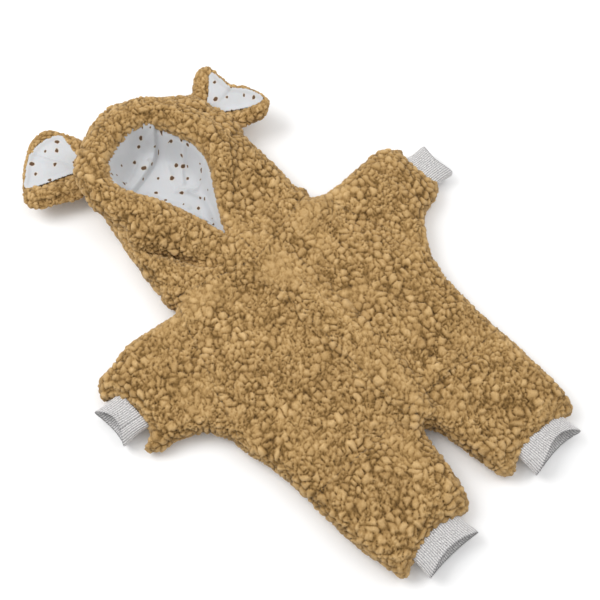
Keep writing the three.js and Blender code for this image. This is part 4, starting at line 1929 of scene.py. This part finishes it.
@dataclass
class HoodLining:
    """The spotted lining seen through the hood's opening, with its folds and panel seams.

    Attributes:
        form: The suit's shape.
        wardrobe: The finishes.
        step: Distance between the cloth's points.
        tuck: How far the lining runs on under the opening's edge.
        thickness: The jersey's thickness.
        flap: Where the lining lies folded over itself.
    """

    form: SuitForm
    wardrobe: Wardrobe
    step: float = 1.2 * MM
    tuck: float = 8 * MM
    thickness: float = 0.9 * MM
    flap = Curve2D(
        (
            (30, 262), (8, 241), (-14, 230), (-38, 222), (-66, 216), (-88, 240), (-62, 278), (-12, 288),
            (26, 280),
        )
    )

    def build(self) -> bpy.types.Object:
        """Builds, dresses and fastens the lining.

        Returns:
            The piece.
        """
        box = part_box("hood_centre_lining")
        xs = np.arange(-0.086, 0.066, self.step)
        ys = np.arange(0.078, box[1].y - 0.012, self.step)
        x, y = np.meshgrid(xs, ys, indexing="ij")
        face = self.form.face_outline.distance(x, y)
        z = self.height(x, y, face)
        points = np.stack([x, y, z], -1).reshape(-1, 3)
        cloth = self.flat_coordinates(x, y, z)
        piece = mesh_object("hood_lining_cloth", points, plan_faces(face < self.tuck), {"cloth": cloth})
        thicken(piece, self.thickness)
        self.wardrobe.dress(piece, self.wardrobe.jersey_flat, Cloth.JERSEY)
        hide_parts("hood_centre_lining", "hood_left_lining", "hood_right_lining")
        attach(piece, "hood")
        log.info("hood lining: %d faces", len(piece.data.polygons))
        return piece

    def height(self, x: Array, y: Array, face: Array) -> Array:
        """Height of the lining.

        Args:
            x: X over the plan.
            y: Y over the plan.
            face: Distance to the edge of the hood's opening, below zero inside it.

        Returns:
            The heights.
        """
        z = self.form.lining_height(face, y)
        wall = smoothstep(-24 * MM, 2 * MM, face)
        flat = np.stack([x.ravel(), y.ravel(), np.zeros(x.size)], 1)
        g = self.form.grain
        soft = g.smooth(flat, 0.030, 51) * 2.8 + g.smooth(flat, 0.012, 52) * 0.9
        z += soft.reshape(x.shape) * MM
        wavy = g.smooth(flat, 0.04, 53).reshape(x.shape) * 2 * MM
        flap = self.flap.distance(x, y) + wavy
        raised = (9.0 - 3.5 * smoothstep(-6 * MM, -22 * MM, flap)) * MM
        z += smoothstep(1.2 * MM, -1.6 * MM, flap) * raised
        creases = (
            (((-9, 267), (-17, 257), (-32, 253), (-47, 249)), 2.4, 3.0),
            (((17, 252), (-1, 258), (-21, 255)), -2.2, 1.8),
            (((-4, 238), (-3, 224), (-6, 203), (-7, 190)), -3.0, 1.9),
            (((-7, 189), (4, 178), (16, 172), (34, 176)), 3.6, 2.8),
            (((4, 176), (11, 158), (6, 138), (-2, 118)), 3.4, 2.2),
            (((-34, 206), (-24, 180), (-10, 160)), 2.8, 3.2),
            (((38, 214), (20, 206), (8, 190)), 2.8, 2.8),
            (((30, 236), (12, 226), (2, 206)), 1.6, 3.6),
            (((-50, 232), (-36, 236), (-20, 246)), -1.6, 2.2),
        )
        for points, rise, width in creases:
            away = Curve2D(points, False).distance(x, y)
            z += rise * MM * np.exp(-((away / (width * MM)) ** 2)) * (1 - 0.5 * wall)
        bound = smoothstep(0.012, 0.024, x) * smoothstep(0.150, 0.162, y)
        z += 1.8 * MM * np.exp(-(((face + 4 * MM) / (1.3 * MM)) ** 2)) * bound
        return np.maximum(z, self.form.lining_height(face, y) - 2.0 * MM)

    @staticmethod
    def flat_coordinates(x: Array, y: Array, z: Array) -> Array:
        """Distances along the cloth in two directions, so that spots keep their size on slopes.

        Args:
            x: X over the plan.
            y: Y over the plan.
            z: Height over the plan.

        Returns:
            Coordinates, shape (n, 3).
        """
        du = np.hypot(np.diff(x, axis=0), np.diff(z, axis=0))
        dv = np.hypot(np.diff(y, axis=1), np.diff(z, axis=1))
        u = np.vstack([np.zeros((1, x.shape[1])), np.cumsum(du, 0)])
        v = np.hstack([np.zeros((x.shape[0], 1)), np.cumsum(dv, 1)])
        u -= u[len(u) // 2][None]
        v -= v[:, v.shape[1] // 2][:, None]
        return np.stack([u, v, np.zeros(u.shape)], -1).reshape(-1, 3)


def apply_modifiers(piece: bpy.types.Object) -> None:
    """Turns a piece's modifiers into its mesh.

    Args:
        piece: The piece.
    """
    graph = bpy.context.evaluated_depsgraph_get()
    done = bpy.data.meshes.new_from_object(piece.evaluated_get(graph))
    piece.modifiers.clear()
    old = piece.data
    piece.data = done
    bpy.data.meshes.remove(old)


@dataclass
class Studio:
    """Floor, light and camera."""

    azimuth: float = -42.6
    elevation: float = 66.0
    distance: float = 1.25
    lens: float = 65.2
    target: Vector = field(default_factory=lambda: Vector((0.005, -0.023, 0.015)))

    def build(self) -> None:
        """Sets the stage."""
        a, e = math.radians(self.azimuth), math.radians(self.elevation)
        back = Vector((math.sin(a) * math.cos(e), -math.cos(a) * math.cos(e), math.sin(e)))
        camera = bpy.data.objects.new("camera", bpy.data.cameras.new("camera"))
        camera.data.lens = self.lens
        camera.data.sensor_width = 36
        camera.data.clip_start = 0.01
        camera.location = self.target + back * self.distance
        camera.rotation_euler = (-back).to_track_quat("-Z", "Y").to_euler()
        bpy.context.scene.collection.objects.link(camera)
        bpy.context.scene.camera = camera
        self._floor()
        self._light("key", (-0.7, 1.0, 1.6), 1.2, 22)
        self._light("fill", (1.3, -0.6, 1.5), 1.6, 12)
        self._light("top", (0.0, 0.0, 2.3), 2.4, 14)
        world = bpy.data.worlds.new("studio")
        world.use_nodes = True
        world.node_tree.nodes["Background"].inputs[0].default_value = (1, 1, 1, 1)
        world.node_tree.nodes["Background"].inputs[1].default_value = 0.55
        bpy.context.scene.world = world
        bpy.context.scene.view_settings.view_transform = "Standard"

    def _floor(self) -> None:
        """A plain pale floor."""
        size = 6.0
        corners = np.array([[-size, -size, 0], [size, -size, 0], [size, size, 0], [-size, size, 0]])
        floor = mesh_object("floor", corners, np.array([[0, 1, 2, 3]]))
        s = Shader("floor", 0.9)
        floor.data.materials.append(s.finish((0.93, 0.93, 0.93, 1.0)))

    def _light(self, name: str, place: Point, size: float, power: float) -> None:
        """One soft box aimed at the suit.

        Args:
            name: The light's name.
            place: Where it stands.
            size: Its side.
            power: Watts.
        """
        data = bpy.data.lights.new(name, "AREA")
        data.size = size
        data.energy = power
        light = bpy.data.objects.new(name, data)
        light.location = place
        light.rotation_euler = (self.target - Vector(place)).to_track_quat("-Z", "Y").to_euler()
        bpy.context.scene.collection.objects.link(light)


def main() -> None:
    """Builds the romper, piece by piece."""
    logging.basicConfig(level=logging.INFO, format="%(name)s: %(message)s")
    Studio().build()
    wardrobe, pile, seams = Wardrobe(), Pile(), Seams()
    form = SuitForm(step=1.6 * MM)
    FleecePanels(form, pile, wardrobe, seams).build()
    HoodLining(form, wardrobe).build()
    InnerLining(form, wardrobe, seams).build()
    Ears(form, pile, wardrobe).build()
    Cuffs(wardrobe).build()
    wardrobe.dress_frame()


if __name__ == "__main__":
    main()
